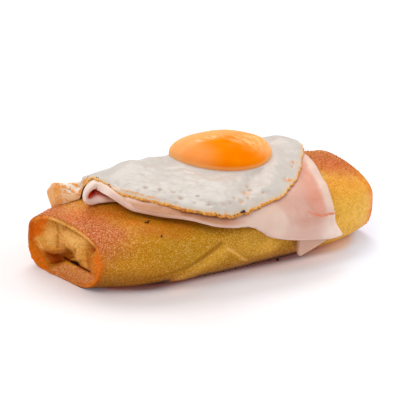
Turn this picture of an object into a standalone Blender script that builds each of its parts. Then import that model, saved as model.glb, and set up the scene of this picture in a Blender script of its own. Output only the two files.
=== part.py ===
"""A fried egg roll with a folded slice of ham and a fried egg laid over it.

Metres, +Z up. The roll lies along X, its front side towards -Y, its flat underside on Z = 0 and the
origin in the middle of that underside. The ham and the egg follow the roll's rounded top: a place on
it is given by x, by the way s walked over the section from the crown (towards the front counts as
positive), and by the lift off the surface.
"""
import math

import bmesh
import bpy
import numpy as np

MM = 0.001

# The roll, a squashed barrel
ROLL_LENGTH = 140 * MM
FRONT_REACH = 41.4 * MM
BACK_REACH = 28.1 * MM
ROLL_HEIGHT = 32.5 * MM
FRONT_TAPER = (0.314, 0.249)
BACK_TAPER = (0.230, 0.303)
HEIGHT_TAPER = (0.204, 0.092)
TAPER_POWER = 4.1
WIDEST_LEVEL = 0.65
TOP_ROUNDNESS = 2.05
SIDE_ROUNDNESS = 3.1
FOOT_DEPTH = 1.06
END_BEND = 5.4 * MM
END_SLANT = -0.15
END_SHEAR = -0.17

# Its wrapper
WRAPPER = 1.3 * MM
LUMP = 0.7 * MM
FLAP_STEP = 0.9 * MM
FLAP_TIP = (-18 * MM, 19 * MM)
FLAP_SLOPES = (0.46, 0.80)
FLAP_EDGE = 1.4 * MM
FOLD_DEPTH = 3.0 * MM
FOLD_WALL = 1.5 * MM
LIP_EDGE = 2.6 * MM
END_LEVEL = 0.45

# The ham, one slice folded double
HAM_THICKNESS = 2.1 * MM
GAP = 0.35 * MM
LOOP_RISE = 3.0 * MM
LOOP_X = -54.5 * MM
LOOP_LEAN = -0.55
LOOP_BULGE = 1.25
LOOP_FRONT = 1.8 * MM
HEM_LEAN = 0.32
LAYER_STEP = 4 * MM
SAG_FROM = 26 * MM
SAG_OVER = 14 * MM

# The egg
EGG_CENTRE = (2 * MM, -4 * MM)
EGG_THICKNESS = 2.6 * MM
EGG_RIM = 1.1 * MM
LOBE_HEIGHT = 5.6 * MM
LOBE_CLIMB = 0.34
LOBE_ANGLE = math.radians(190)
EGG_CROWDING = 0.5
EGG_CURL = 0.6 * MM
EGG_CUT = 0.022
EGG_HUMPS = ((-31, -9, 8, 2.6), (-43, -6, 6, 0.8), (31, -10, 8, -1.8))
YOLK_CENTRE = (9.8 * MM, -3.5 * MM)
YOLK_RADIUS = 21.7 * MM
YOLK_HEIGHT = 6.6 * MM
YOLK_FLATNESS = 2.7

# How finely each piece is divided
ROLL_AROUND = 60
END_RINGS = 12
LIP_RINGS = 3
BODY_RINGS = 28
HAM_ALONG = 48
HAM_ACROSS = 16
EGG_AROUND = 64
EGG_RINGS = 22
YOLK_AROUND = 28
YOLK_RINGS = 14
SECTION_STEPS = 180
BODY_CROWDING = 0.035
HAM_CROWDING = 1.4
RIM_CROWDING = 1.6
NEARBY = 0.03


def through(points, x):
    """A smooth curve through a few points, for x inside their span."""
    px, py = np.array(points, float).T
    slope = np.gradient(py, px)
    i = np.clip(np.searchsorted(px, x) - 1, 0, len(px) - 2)
    step = px[i + 1] - px[i]
    t = np.clip((x - px[i]) / step, 0, 1)
    rise = py[i + 1] - py[i]
    bend = slope[i] * step * t * (1 - t) ** 2 - slope[i + 1] * step * t * t * (1 - t)
    return py[i] + rise * t * t * (3 - 2 * t) + bend


def ease(value):
    """0 below 0, 1 above 1, and a smooth step between."""
    t = np.clip(value, 0, 1)
    return t * t * (3 - 2 * t)


def swollen(x, size, taper):
    u = np.clip(x / (ROLL_LENGTH / 2), -1.15, 1.15)
    return size * (1 - np.where(u < 0, taper[0], taper[1]) * np.abs(u) ** TAPER_POWER)


def roll_section(x, turn):
    """A point of the roll's section at x, turn radians from the crown towards the front."""
    u = np.clip(x / (ROLL_LENGTH / 2), -1.15, 1.15)
    front, back = swollen(x, FRONT_REACH, FRONT_TAPER), swollen(x, BACK_REACH, BACK_TAPER)
    height = swollen(x, ROLL_HEIGHT, HEIGHT_TAPER)
    middle = WIDEST_LEVEL * height
    sine, cosine = np.sin(turn), np.cos(turn)
    power = 2 / np.where(cosine > 0, TOP_ROUNDNESS, SIDE_ROUNDNESS)
    above = middle + (height - middle) * np.abs(cosine) ** power
    below = middle - FOOT_DEPTH * middle * np.abs(cosine) ** power
    z = np.maximum(np.where(cosine > 0, above, below), 0)
    y = np.where(sine > 0, -front, back) * np.abs(sine) ** power
    return y + END_BEND * u * u + END_SHEAR * z * np.clip(-u, 0, 1) ** 2, z


def drape(x, s, lift):
    """The place over the roll at x, s from the crown, lift above the surface; past the widest
    place of the section it hangs straight down."""
    x, s, lift = (np.asarray(v, float) for v in (x, s, lift))
    turn = np.linspace(-math.pi / 2, math.pi / 2, SECTION_STEPS + 1)
    y, z = roll_section(x[:, None], turn[None])
    way = np.cumsum(np.hypot(np.diff(y), np.diff(z)), axis=1)
    way = np.hstack([np.zeros((len(x), 1)), way])
    way -= way[:, SECTION_STEPS // 2][:, None]
    row = np.arange(len(x))
    i = np.clip((way < s[:, None]).sum(1) - 1, 0, SECTION_STEPS - 1)
    t = np.clip((s - way[row, i]) / (way[row, i + 1] - way[row, i]), 0, 1)
    hang = np.maximum(s - way[:, -1], 0) + np.maximum(way[:, 0] - s, 0)
    near, far = np.maximum(i - 4, 0), np.minimum(i + 5, SECTION_STEPS)
    dy, dz = y[row, far] - y[row, near], z[row, far] - z[row, near]
    length = np.hypot(dy, dz)
    dy, dz = dy / length, dz / length
    dy = np.where(hang > 0, 0, dy)
    dz = np.where(hang > 0, -np.sign(s), dz)
    py = y[row, i] * (1 - t) + y[row, i + 1] * t + dz * lift
    pz = z[row, i] * (1 - t) + z[row, i + 1] * t - hang - dy * lift
    return np.column_stack([x, py, pz])


# The roll's own relief


def mound(y, z, centre, reach, tilt=0.0):
    """1 over a rounded fold of the given half length and half width, falling to 0 around it."""
    u, v = y - centre[0] * MM, z - centre[1] * MM
    along = u * math.cos(tilt) + v * math.sin(tilt)
    across = v * math.cos(tilt) - u * math.sin(tilt)
    spread = (along / (reach[0] * MM)) ** 2 + (across / (reach[1] * MM)) ** 2
    return np.exp(-spread ** 1.6)


def crease(y, z, points, width):
    """1 along a line of fold, falling to 0 at the given distance from it."""
    nearest = np.full(np.shape(y), 1.0)
    for (y0, z0), (y1, z1) in zip(points, points[1:]):
        along = np.array([y1 - y0, z1 - z0]) * MM
        share = ((y - y0 * MM) * along[0] + (z - z0 * MM) * along[1]) / (along @ along)
        share = np.clip(share, 0, 1)
        away_y = y - y0 * MM - share * along[0]
        away_z = z - z0 * MM - share * along[1]
        nearest = np.minimum(nearest, np.hypot(away_y, away_z))
    return np.exp(-(nearest / (width * MM)) ** 2)


def end_folds(y, z):
    """How far the tucked wrapper lies behind the rim at one end of the roll: each line is a fold, a
    hollow or a slit, given by its middle, its half length and half width and its tilt, in mm."""
    slit = [(8.5, 18), (8.2, 15), (4.4, 9.6), (0.3, 7.4), (-9, 7.4), (-18, 7)]
    depth = FOLD_DEPTH / MM
    depth = depth - 2.2 * mound(y, z, (-3, 14.8), (12.5, 6.2), 0.62)
    depth = depth - 1.2 * mound(y, z, (17, 14.5), (6.5, 6.5))
    depth = depth - 1.6 * mound(y, z, (-21.5, 12.5), (3.2, 7), 0.25)
    depth = depth + 3.6 * crease(y, z, slit, 2.3)
    depth = depth + 3.6 * mound(y, z, (12.5, 5.5), (6, 4.5), 0.3)
    depth = depth + 3.0 * mound(y, z, (-15.5, 16.2), (2.8, 3.4), 0.5)
    depth = depth + 1.6 * crease(y, z, [(-14.5, 15), (-11, 8)], 1.3)
    depth = depth + 3.0 * mound(y, z, (0, 23), (9, 2))
    depth = depth + 3.4 * mound(y, z, (17.5, 21), (6, 2.6), -0.5)
    depth = depth + 1.4 * mound(y, z, (-1, 11), (3.4, 1.7), 0.9)
    lip_level = through([(-30, 9.5), (-18, 8.6), (-8, 7.6), (1, 5.6), (10, 1.2), (18, -2)], y / MM) * MM
    lip = ease((lip_level - z) / LIP_EDGE + 0.5)
    return np.maximum(depth * (1 - lip) + 0.8 * lip, 0.3) * MM


def side_relief(x, y, z):
    """The wrapper's last corner, raised on the front, and the soft unevenness of the rest."""
    tip_x, tip_z = FLAP_TIP
    slope = np.where(x < tip_x, FLAP_SLOPES[0], FLAP_SLOPES[1])
    edge = tip_z - slope * np.abs(x - tip_x)
    flap = ease((edge - z) / FLAP_EDGE + 0.5) * (y < 0)
    lump = np.sin(x / (11 * MM) + 1.3) * np.sin(y / (13 * MM) + x / (31 * MM))
    lump = lump + 0.6 * np.sin(x / (5.7 * MM)) * np.sin(z / (6 * MM) + 2)
    hollow = LUMP * (0.5 + 0.3 * lump)
    return (FLAP_STEP * flap - hollow) * ease(z / (5 * MM))


def roll_point(ring, turn):
    """A vertex of the roll: rings run from the middle of the left end over the barrel to the
    middle of the right end."""
    last = 2 * (END_RINGS + LIP_RINGS) + BODY_RINGS
    side = -1 if ring <= last / 2 else 1
    step = ring if side < 0 else last - ring
    end_x = side * (ROLL_LENGTH / 2)
    if step > END_RINGS + LIP_RINGS - 1:
        share = (ring - END_RINGS - LIP_RINGS) / BODY_RINGS
        share = share + BODY_CROWDING * math.sin(2 * math.pi * share)
        x = (share - 0.5) * (ROLL_LENGTH - WRAPPER)
        y, z = roll_section(x, turn)
        out_y, out_z = roll_section(x, turn + NEARBY)
        in_y, in_z = roll_section(x, turn - NEARBY)
        along = math.hypot(out_y - in_y, out_z - in_z)
        lift = float(side_relief(x, y, z))
        y = y + lift * (out_z - in_z) / along
        z = max(z - lift * (out_y - in_y) / along, 0)
        depth = 0
    else:
        y, z = roll_section(end_x, turn)
        middle_z = END_LEVEL * swollen(end_x, ROLL_HEIGHT, HEIGHT_TAPER)
        radius = math.hypot(y, z - middle_z)
        curl = max(step - END_RINGS, 0) / LIP_RINGS * math.pi
        inset = WRAPPER * (1 + math.cos(curl)) / 2
        share = min(step / END_RINGS, 1) * (radius - inset) / radius
        y, z = y * share, middle_z + (z - middle_z) * share
        wall = float(ease((radius - inset - radius * share) / FOLD_WALL))
        fold_y = y if side < 0 else -y
        depth = WRAPPER / 2 * (1 - math.sin(curl)) + float(end_folds(fold_y, z)) * wall
        x = end_x - side * depth
    slant = END_SLANT * ease(abs(x) / (ROLL_LENGTH / 2) * 2 - 1) if side < 0 else 0.0
    return x + float(slant) * y, y, z


def ball(around, rings):
    """A mesh ball, with for each vertex its ring, counted from the top pole, and its direction."""
    mesh = bmesh.new()
    bmesh.ops.create_uvsphere(mesh, u_segments=around, v_segments=rings, radius=1)
    places = []
    for vertex in mesh.verts:
        ring = round(math.acos(max(-1, min(1, vertex.co.z))) / math.pi * rings)
        places.append((ring, math.atan2(vertex.co.y, vertex.co.x)))
    return mesh, places


def make_roll():
    last = 2 * (END_RINGS + LIP_RINGS) + BODY_RINGS
    mesh, places = ball(ROLL_AROUND, last)
    for vertex, (ring, turn) in zip(mesh.verts, places):
        vertex.co = roll_point(ring, turn)
    return finish(mesh, "roll", (0.62, 0.27, 0.05, 1), 0.55)


# The ham


def ham_sag(x, s):
    """How far the ham stands off the roll's side, in soft ripples, where it hangs down."""
    ripple = 1.3 + 0.3 * np.sin(x / (6.5 * MM) + 1)
    return ripple * ease((s - SAG_FROM) / SAG_OVER) * MM


def ham_lift(x, s):
    """The height of the upper layer's middle over the roll: it rises into the loop at the fold."""
    flat = 2 * GAP + 1.5 * HAM_THICKNESS + ham_sag(x, s)
    return flat + LOOP_RISE * ease((-38 * MM - x) / (15 * MM)) * ease((s + 12 * MM) / (10 * MM))


def upper_front(x):
    edge = [(-55, 1), (-52, 11), (-47, 22.5), (-40, 31), (-31, 36), (-23, 40), (-15, 42),
            (-5, 43.2), (4, 47), (16, 50.6), (26, 52.4), (34, 53.4), (44, 52)]
    return through(edge, x / MM) * MM


def lower_front(x):
    edge = [(-55, 1), (-47, 6), (-38, 15), (-20, 27), (0, 35), (12, 39), (17.5, 43), (20, 49),
            (22, 57), (24, 59), (27, 58.4), (36, 55), (44, 51), (54, 44)]
    return through(edge, x / MM) * MM


def ham_back(x):
    edge = [(-58, -10), (-50, -13), (-42, -16), (-30, -20), (-10, -22), (15, -24), (32, -18),
            (52, -12)]
    return through(edge, x / MM) * MM


def upper_right(v):
    return through([(0, 41), (0.12, 36.2), (0.3, 40), (0.6, 47), (0.8, 48.5), (1, 46)], v) * MM


def ham_sheet(u, v):
    """The slice's middle surface: u runs from the lower layer's right end round the fold to the
    upper layer's right edge, v from the front edge to the back."""
    turn_from, turn_to = 0.40, 0.56
    turning = np.clip((u - turn_from) / (turn_to - turn_from), 0, 1)
    crowded = [(0, 0), (0.3, 0.6), (0.45, 0.75), (0.85, 0.87), (1, 1)]
    under = through(crowded, 1 - np.clip(u / turn_from, 0, 1))
    over = np.clip((u - turn_to) / (1 - turn_to), 0, 1)
    reach = np.where(turning > 0, over ** 1.4, under)
    reach = reach * (upper_right(v) - np.where(turning > 0, 0, LAYER_STEP) - LOOP_X)
    angle = math.pi * turning
    x = LOOP_X + reach
    front = np.where(turning > 0, upper_front(x), lower_front(x))
    front = LOOP_FRONT + (front - LOOP_FRONT) * ease(reach / (2 * MM))
    s = front + (ham_back(x) - front) * v
    lean = LOOP_LEAN * np.minimum(s - LOOP_FRONT, 0) * (1 - ease(reach / (30 * MM)))
    lean = lean - np.where(turning > 0, 0, HEM_LEAN * np.maximum(s - 44 * MM, 0))
    low = GAP + HAM_THICKNESS / 2 + ham_sag(x + lean, s)
    high = ham_lift(x + lean, s)
    lift = np.where(turning >= 1, high, low + (high - low) * (1 - np.cos(angle)) / 2)
    return drape(x + lean - (high - low) / 2 * np.sin(angle) * LOOP_BULGE, s, lift)


def make_ham():
    mesh = bmesh.new()
    bmesh.ops.create_grid(mesh, x_segments=HAM_ALONG, y_segments=HAM_ACROSS, size=1)
    spots = np.array([vertex.co[:2] for vertex in mesh.verts])
    u, v = (spots[:, 0] + 1) / 2, ((spots[:, 1] + 1) / 2) ** HAM_CROWDING
    for vertex, place in zip(mesh.verts, ham_sheet(u, v)):
        vertex.co = place
    ham = finish(mesh, "ham", (0.80, 0.46, 0.38, 1), 0.42)
    wall = ham.modifiers.new("Thickness", "SOLIDIFY")
    wall.thickness = HAM_THICKNESS
    wall.offset = 0
    return ham


# The egg


def egg_outline(angle):
    """The white's reach from its centre, towards each angle from +X round by the front."""
    radii = [(-16, 49), (0, 50), (12, 47), (22, 43.4), (38, 41.3), (52, 41), (64, 41), (75, 42),
             (90, 42.8), (101, 45), (112, 47.2), (122, 48.4), (132, 49), (141, 48.6), (150, 49),
             (160, 50.5), (168, 52), (173, 53), (175.5, 55), (178, 60.5), (181, 62.5), (186, 64),
             (190, 65.5), (195, 66.5), (201, 66), (208, 59), (222, 50), (242, 43), (262, 40),
             (285, 40), (305, 42), (325, 46), (344, 49), (360, 50)]
    degrees = np.degrees(angle) % 360
    return through(radii, degrees) * MM


def under_egg(x, s):
    """The lift of the white's lower face: over the ham, and down on the roll where the ham ends."""
    fold = LOOP_X + LOOP_LEAN * np.minimum(s - LOOP_FRONT, 0)
    back = ease((s - ham_back(x) + 9 * MM) / (5.5 * MM))
    left = ease((x - fold + 10 * MM) / (4.5 * MM))
    over_ham = ham_lift(x, s) + HAM_THICKNESS / 2 - GAP / 2
    curl = EGG_CURL * ease((x - 37 * MM) / (8 * MM)) * ease((14 * MM - s) / (12 * MM))
    curl = curl * ease((s + 18 * MM) / (12 * MM))
    return 1.5 * GAP + over_ham * back * left + curl


def over_egg(x, s):
    """The lift of the white's upper face, with its humps and the lobe behind."""
    from_yolk = np.hypot(x - YOLK_CENTRE[0], s - YOLK_CENTRE[1])
    thick = EGG_THICKNESS + 0.7 * MM * ease((26 * MM - from_yolk) / (5 * MM))
    wave = 0.5 * MM * np.sin(x / (9 * MM)) * np.sin(s / (8 * MM) + 1.2)
    wave = wave * ease((from_yolk - YOLK_RADIUS) / (8 * MM))
    top = under_egg(x, s) + thick + wave
    for hump_x, hump_s, reach, height in EGG_HUMPS:
        away = np.hypot(x / MM - hump_x, s / MM - hump_s) / reach
        top = top + height * MM * np.exp(-away ** 2)
    lobe = (LOBE_HEIGHT + LOBE_CLIMB * (-50 * MM - x)) * ease((-45 * MM - x) / (5 * MM))
    lobe = lobe * ease((-10.5 * MM - s) / (2.5 * MM))
    return np.maximum(top, lobe)


def egg_point(share, angle, upper):
    reach = egg_outline(angle) * share
    x = EGG_CENTRE[0] + reach * np.cos(angle)
    s = EGG_CENTRE[1] + reach * np.sin(angle)
    low, high = under_egg(x, s), over_egg(x, s)
    full = np.clip((1 - share) / EGG_CUT, 0, 1) ** 0.5
    rim = np.minimum(high, low + EGG_RIM)
    lift = low + (rim - low) / 2 + full * np.where(upper, high - (rim + low) / 2, -(rim - low) / 2)
    return drape(x, s, lift)


def make_egg_white():
    mesh, places = ball(EGG_AROUND, EGG_RINGS)
    ring, angle = np.array(places).T
    angle = angle - EGG_CROWDING * np.sin(angle - LOBE_ANGLE)
    half = EGG_RINGS / 2
    share = 1 - np.abs(ring / half - 1) ** RIM_CROWDING
    for vertex, place in zip(mesh.verts, egg_point(share, angle, ring < half)):
        vertex.co = place
    return finish(mesh, "egg_white", (0.80, 0.74, 0.66, 1), 0.35)


def make_yolk():
    mesh, places = ball(YOLK_AROUND, YOLK_RINGS)
    ring, angle = np.array(places).T
    half = YOLK_RINGS / 2
    share = np.sin(ring / YOLK_RINGS * math.pi)
    x = YOLK_CENTRE[0] + YOLK_RADIUS * share * np.cos(angle)
    s = YOLK_CENTRE[1] + YOLK_RADIUS * share * np.sin(angle)
    dome = np.sqrt(np.clip(1 - share ** YOLK_FLATNESS, 0, 1)) * YOLK_HEIGHT
    lift = over_egg(x, s) + GAP + np.where(ring < half, dome, 0) + 0.3 * MM * (share ** 8)
    for vertex, place in zip(mesh.verts, drape(x, s, lift)):
        vertex.co = place
    return finish(mesh, "egg_yolk", (0.95, 0.30, 0.01, 1), 0.22)


def finish(mesh, name, colour, roughness):
    """Makes the named object with its own material, its faces turned outwards."""
    bmesh.ops.recalc_face_normals(mesh, faces=mesh.faces)
    if mesh.calc_volume(signed=True) < 0:
        bmesh.ops.reverse_faces(mesh, faces=mesh.faces)
    bmesh.ops.triangulate(mesh, faces=mesh.faces)
    data = bpy.data.meshes.new(name)
    mesh.to_mesh(data)
    mesh.free()
    data.shade_smooth()
    material = bpy.data.materials.new(name)
    material.use_nodes = True
    shader = material.node_tree.nodes["Principled BSDF"]
    shader.inputs["Base Color"].default_value = colour
    shader.inputs["Roughness"].default_value = roughness
    shader.inputs["Metallic"].default_value = 0
    data.materials.append(material)
    return bpy.data.objects.new(name, data)


def main():
    for old in list(bpy.data.objects):
        bpy.data.objects.remove(old)
    parts = bpy.data.collections.new("egg_roll")
    bpy.context.scene.collection.children.link(parts)
    for make in (make_roll, make_ham, make_egg_white, make_yolk):
        parts.objects.link(make())


main()
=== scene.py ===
# %% [markdown]
# # A fried egg roll under ham and a fried egg
# The roll is a sheet of pastry, filled, rolled up, tucked in at both ends and fried crisp. A slice of
# ham is folded double over it, and a fried egg lies on the ham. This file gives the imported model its
# looks: every piece is made again over its own solid, much finer, with the finish of the real food.
# The solids stay where they are, and each new piece stands for the one that it covers.

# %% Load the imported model
import math

import bmesh
import bpy
import numpy as np
from mathutils import Matrix, Vector

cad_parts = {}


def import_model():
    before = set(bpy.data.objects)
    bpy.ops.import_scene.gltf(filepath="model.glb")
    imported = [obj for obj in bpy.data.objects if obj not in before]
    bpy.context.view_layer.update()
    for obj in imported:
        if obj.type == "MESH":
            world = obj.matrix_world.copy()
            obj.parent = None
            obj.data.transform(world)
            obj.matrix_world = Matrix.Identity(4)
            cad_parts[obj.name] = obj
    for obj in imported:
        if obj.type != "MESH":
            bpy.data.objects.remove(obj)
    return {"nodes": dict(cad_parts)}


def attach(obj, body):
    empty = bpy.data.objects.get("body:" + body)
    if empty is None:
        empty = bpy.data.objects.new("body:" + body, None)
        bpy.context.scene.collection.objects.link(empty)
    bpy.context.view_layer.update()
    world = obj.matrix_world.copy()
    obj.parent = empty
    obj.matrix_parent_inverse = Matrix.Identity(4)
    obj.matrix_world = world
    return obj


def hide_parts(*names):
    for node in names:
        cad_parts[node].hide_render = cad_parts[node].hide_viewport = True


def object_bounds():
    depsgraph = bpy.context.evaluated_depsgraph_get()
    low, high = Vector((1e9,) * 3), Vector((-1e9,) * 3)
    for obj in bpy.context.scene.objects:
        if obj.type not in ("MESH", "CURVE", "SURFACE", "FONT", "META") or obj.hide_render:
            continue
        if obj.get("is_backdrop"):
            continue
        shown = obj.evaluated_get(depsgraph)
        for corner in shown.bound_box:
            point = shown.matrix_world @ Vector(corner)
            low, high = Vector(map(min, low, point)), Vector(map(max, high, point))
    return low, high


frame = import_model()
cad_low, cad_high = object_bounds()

MM = 0.001


def put(name, data):
    """A new object in the scene, for a mesh, a lamp or a camera."""
    made = bpy.data.objects.new(name, data)
    bpy.context.scene.collection.objects.link(made)
    return made


print("solids:", sorted(frame["nodes"]))

# %% [markdown]
# ## The camera
# The photograph looks down at the roll by twenty degrees, from a little to the left of its front. A
# long lens far away keeps the roll's sides nearly parallel, as they are in the picture. Setting the
# camera first means that every piece can be judged from the same place while it is made.

# %% Camera
VIEW_TURN = math.radians(31.45)
VIEW_TILT = math.radians(20)
VIEW_DISTANCE = 0.8
VIEW_LENS = 167.4
VIEW_CENTRE = Vector((0, 0, 18 * MM))
VIEW_ASIDE = -2.72 * MM
VIEW_UP = 3.81 * MM


def add_camera():
    turn_sin, turn_cos = math.sin(VIEW_TURN), math.cos(VIEW_TURN)
    tilt_sin, tilt_cos = math.sin(VIEW_TILT), math.cos(VIEW_TILT)
    right = Vector((turn_cos, -turn_sin, 0))
    up = Vector((turn_sin * tilt_sin, turn_cos * tilt_sin, tilt_cos))
    ahead = Vector((turn_sin * tilt_cos, turn_cos * tilt_cos, -tilt_sin))
    place = VIEW_CENTRE + VIEW_ASIDE * right + VIEW_UP * up - VIEW_DISTANCE * ahead
    lens = bpy.data.cameras.new("camera")
    lens.lens = VIEW_LENS
    lens.sensor_width = 36
    camera = put("camera", lens)
    axes = Matrix((right, up, -ahead)).transposed()
    camera.matrix_world = Matrix.Translation(place) @ axes.to_4x4()
    bpy.context.scene.camera = camera
    return camera


print("camera at", tuple(round(v, 3) for v in add_camera().location))

# %% [markdown]
# ## Small tools for smooth shapes
# Food has few straight lines. Most forms here are read from a smooth curve through a handful of given
# points, fade in and out with a soft step, or are a soft spot or line somewhere. All of these
# work on whole arrays, so a surface of eighty thousand points takes a second.

# %% Curves and soft steps


def through(points, x):
    """A smooth curve through a few points, for x inside their span."""
    px, py = np.array(points, float).T
    slope = np.gradient(py, px)
    i = np.clip(np.searchsorted(px, x) - 1, 0, len(px) - 2)
    step = px[i + 1] - px[i]
    t = np.clip((x - px[i]) / step, 0, 1)
    rise = py[i + 1] - py[i]
    bend = slope[i] * step * t * (1 - t) ** 2 - slope[i + 1] * step * t * t * (1 - t)
    return py[i] + rise * t * t * (3 - 2 * t) + bend


def ease(value):
    """0 below 0, 1 above 1, and a smooth step between."""
    t = np.clip(value, 0, 1)
    return t * t * (3 - 2 * t)


def past(value, start, width):
    """A soft step over a few mm: 0 up to the start, 1 from a width beyond it."""
    return ease((value - start * MM) / (width * MM))


def before(value, end, width):
    """The same step down: 1 up to a width before the end, 0 beyond it."""
    return ease((end * MM - value) / (width * MM))


def spot(a, b, centre, reach, tilt=0.0):
    """1 in the middle of an oval patch, falling to 0 around it."""
    u, v = a - centre[0] * MM, b - centre[1] * MM
    along = u * math.cos(tilt) + v * math.sin(tilt)
    across = v * math.cos(tilt) - u * math.sin(tilt)
    return np.exp(-((along / (reach[0] * MM)) ** 2 + (across / (reach[1] * MM)) ** 2) ** 1.5)


def line(a, b, points, width):
    """1 along a line through a few points, falling evenly to 0 at the given distance from it."""
    nearest = np.full(np.shape(a), 1e9)
    for (a0, b0), (a1, b1) in zip(points, points[1:]):
        run_a, run_b = (a1 - a0) * MM, (b1 - b0) * MM
        off_a, off_b = a - a0 * MM, b - b0 * MM
        share = np.clip((off_a * run_a + off_b * run_b) / (run_a ** 2 + run_b ** 2), 0, 1)
        nearest = np.minimum(nearest, np.hypot(off_a - share * run_a, off_b - share * run_b))
    return np.clip(1 - nearest / (width * MM), 0, 1)


LUMPS = 128


def uneven(a, b, size, seed):
    """Smooth random ground over two coordinates, from -1 to 1, with lumps of the given size."""
    heights = np.random.default_rng(seed).uniform(-1, 1, (LUMPS, LUMPS))
    at_a, at_b = np.broadcast_arrays(a / (size * MM) + LUMPS / 2, b / (size * MM) + LUMPS / 2)
    i, j = np.floor(at_a).astype(int) % LUMPS, np.floor(at_b).astype(int) % LUMPS
    u, v = ease(at_a % 1), ease(at_b % 1)
    next_i, next_j = (i + 1) % LUMPS, (j + 1) % LUMPS
    near = heights[i, j] * (1 - u) + heights[next_i, j] * u
    far = heights[i, next_j] * (1 - u) + heights[next_i, next_j] * u
    return near * (1 - v) + far * v


def walked(places, axis):
    """The length walked to each point from the first one, along one axis of an array of points."""
    step = np.linalg.norm(np.diff(places, axis=axis), axis=-1)
    start = np.zeros_like(step.take([0], axis))
    return np.concatenate([start, np.cumsum(step, axis)], axis)


def kept(**tints):
    """Numbers for the points, by name, each kept between 0 and 1."""
    return {name: np.clip(value, 0, 1) for name, value in tints.items()}


print("half way up a soft step:", float(ease(0.5)))


# %% [markdown]
# ## The body of the roll
# The roll is a squashed barrel: wide and flat underneath, rounded on top, reaching further to the front
# than to the back, and drawn in at its ends. Its section is two half ovals with their own roundness,
# which swell with a power of the place along the length. The same section also carries the ham and the
# egg: a place on them is x along the roll, s walked over the section from the crown, and a lift.

# %% Section of the roll
ROLL_LENGTH = 140 * MM
FRONT_REACH = 41.4 * MM
BACK_REACH = 28.1 * MM
ROLL_HEIGHT = 32.5 * MM
FRONT_TAPER = (0.314, 0.249)
BACK_TAPER = (0.230, 0.303)
HEIGHT_TAPER = (0.204, 0.092)
TAPER_POWER = 4.1
WIDEST_LEVEL = 0.65
TOP_ROUNDNESS = 2.05
SIDE_ROUNDNESS = 3.1
FOOT_DEPTH = 1.06
PAST_ENDS = 1.15
END_BEND = 5.4 * MM
END_SLANT = -0.15
END_SHEAR = -0.17


def along_roll(x):
    """-1 at the left end, 1 at the right one and a little more beyond them."""
    return np.clip(x / (ROLL_LENGTH / 2), -PAST_ENDS, PAST_ENDS)


def swollen(x, size, taper):
    """A half width or a height of the section, which grows from the ends to the middle."""
    u = along_roll(x)
    return size * (1 - np.where(u < 0, taper[0], taper[1]) * np.abs(u) ** TAPER_POWER)


def roll_section(x, turn):
    """A point of the roll's section at x, turn radians from the crown towards the front."""
    u = along_roll(x)
    front, back = swollen(x, FRONT_REACH, FRONT_TAPER), swollen(x, BACK_REACH, BACK_TAPER)
    height = swollen(x, ROLL_HEIGHT, HEIGHT_TAPER)
    middle = WIDEST_LEVEL * height
    sine, cosine = np.sin(turn), np.cos(turn)
    power = 2 / np.where(cosine > 0, TOP_ROUNDNESS, SIDE_ROUNDNESS)
    above = middle + (height - middle) * np.abs(cosine) ** power
    below = middle - FOOT_DEPTH * middle * np.abs(cosine) ** power
    z = np.maximum(np.where(cosine > 0, above, below), 0)
    y = np.where(sine > 0, -front, back) * np.abs(sine) ** power
    return y + END_BEND * u * u + END_SHEAR * z * np.clip(-u, 0, 1) ** 2, z


print("crown of the roll:", round(float(roll_section(0, 0)[1]) / MM, 1), "mm high")

# %% [markdown]
# ## Draping over the roll
# To lay something over the roll, the section at x is walked from its crown in small steps until the
# length is s. The direction across it there says which way a lift goes.

# %% Draping
SECTION_STEPS = 180
SLOPE_REACH = 4
AT_ONCE = 8192


def drape_few(x, s, lift):
    turn = np.linspace(-math.pi / 2, math.pi / 2, SECTION_STEPS + 1)
    y, z = roll_section(x[:, None], turn[None])
    way = np.cumsum(np.hypot(np.diff(y), np.diff(z)), axis=1)
    way = np.hstack([np.zeros((len(x), 1)), way])
    way -= way[:, SECTION_STEPS // 2][:, None]
    row = np.arange(len(x))
    i = np.clip((way < s[:, None]).sum(1) - 1, 0, SECTION_STEPS - 1)
    t = np.clip((s - way[row, i]) / (way[row, i + 1] - way[row, i]), 0, 1)
    hang = np.maximum(s - way[:, -1], 0) + np.maximum(way[:, 0] - s, 0)
    near, far = np.maximum(i - SLOPE_REACH, 0), np.minimum(i + 1 + SLOPE_REACH, SECTION_STEPS)
    dy, dz = y[row, far] - y[row, near], z[row, far] - z[row, near]
    length = np.hypot(dy, dz)
    dy, dz = dy / length, dz / length
    dy = np.where(hang > 0, 0, dy)
    dz = np.where(hang > 0, -np.sign(s), dz)
    py = y[row, i] * (1 - t) + y[row, i + 1] * t + dz * lift
    pz = z[row, i] * (1 - t) + z[row, i + 1] * t - hang - dy * lift
    return np.column_stack([x, py, pz])


def drape(x, s, lift):
    """The place over the roll at x, s from the crown, lift above the surface; past the widest place
    of the section it hangs straight down. Long arrays are worked through in shares."""
    flat = [np.asarray(v, float).ravel() for v in np.broadcast_arrays(x, s, lift)]
    shares = range(0, len(flat[0]), AT_ONCE)
    places = [drape_few(*(v[i:i + AT_ONCE] for v in flat)) for i in shares]
    return np.vstack(places).reshape(*np.shape(x), 3)


print("40 mm down the front:", drape(np.zeros(1), np.full(1, 40 * MM), 0)[0].round(4))


# %% [markdown]
# ## From rows of points to a closed mesh
# The crust, the ham, the white and the yolk are each one closed skin. The simplest way to make such a
# skin by rule is a grid: rows of points, each row a ring. Where a ring shrinks to a point or a line, its
# doubles are merged, so that poles and edges are closed, and the faces are then turned outwards. Numbers
# that a finish needs, such as how toasted a spot is, are kept on the points.

# %% Mesh from rings
MERGED = 0.001 * MM


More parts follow.
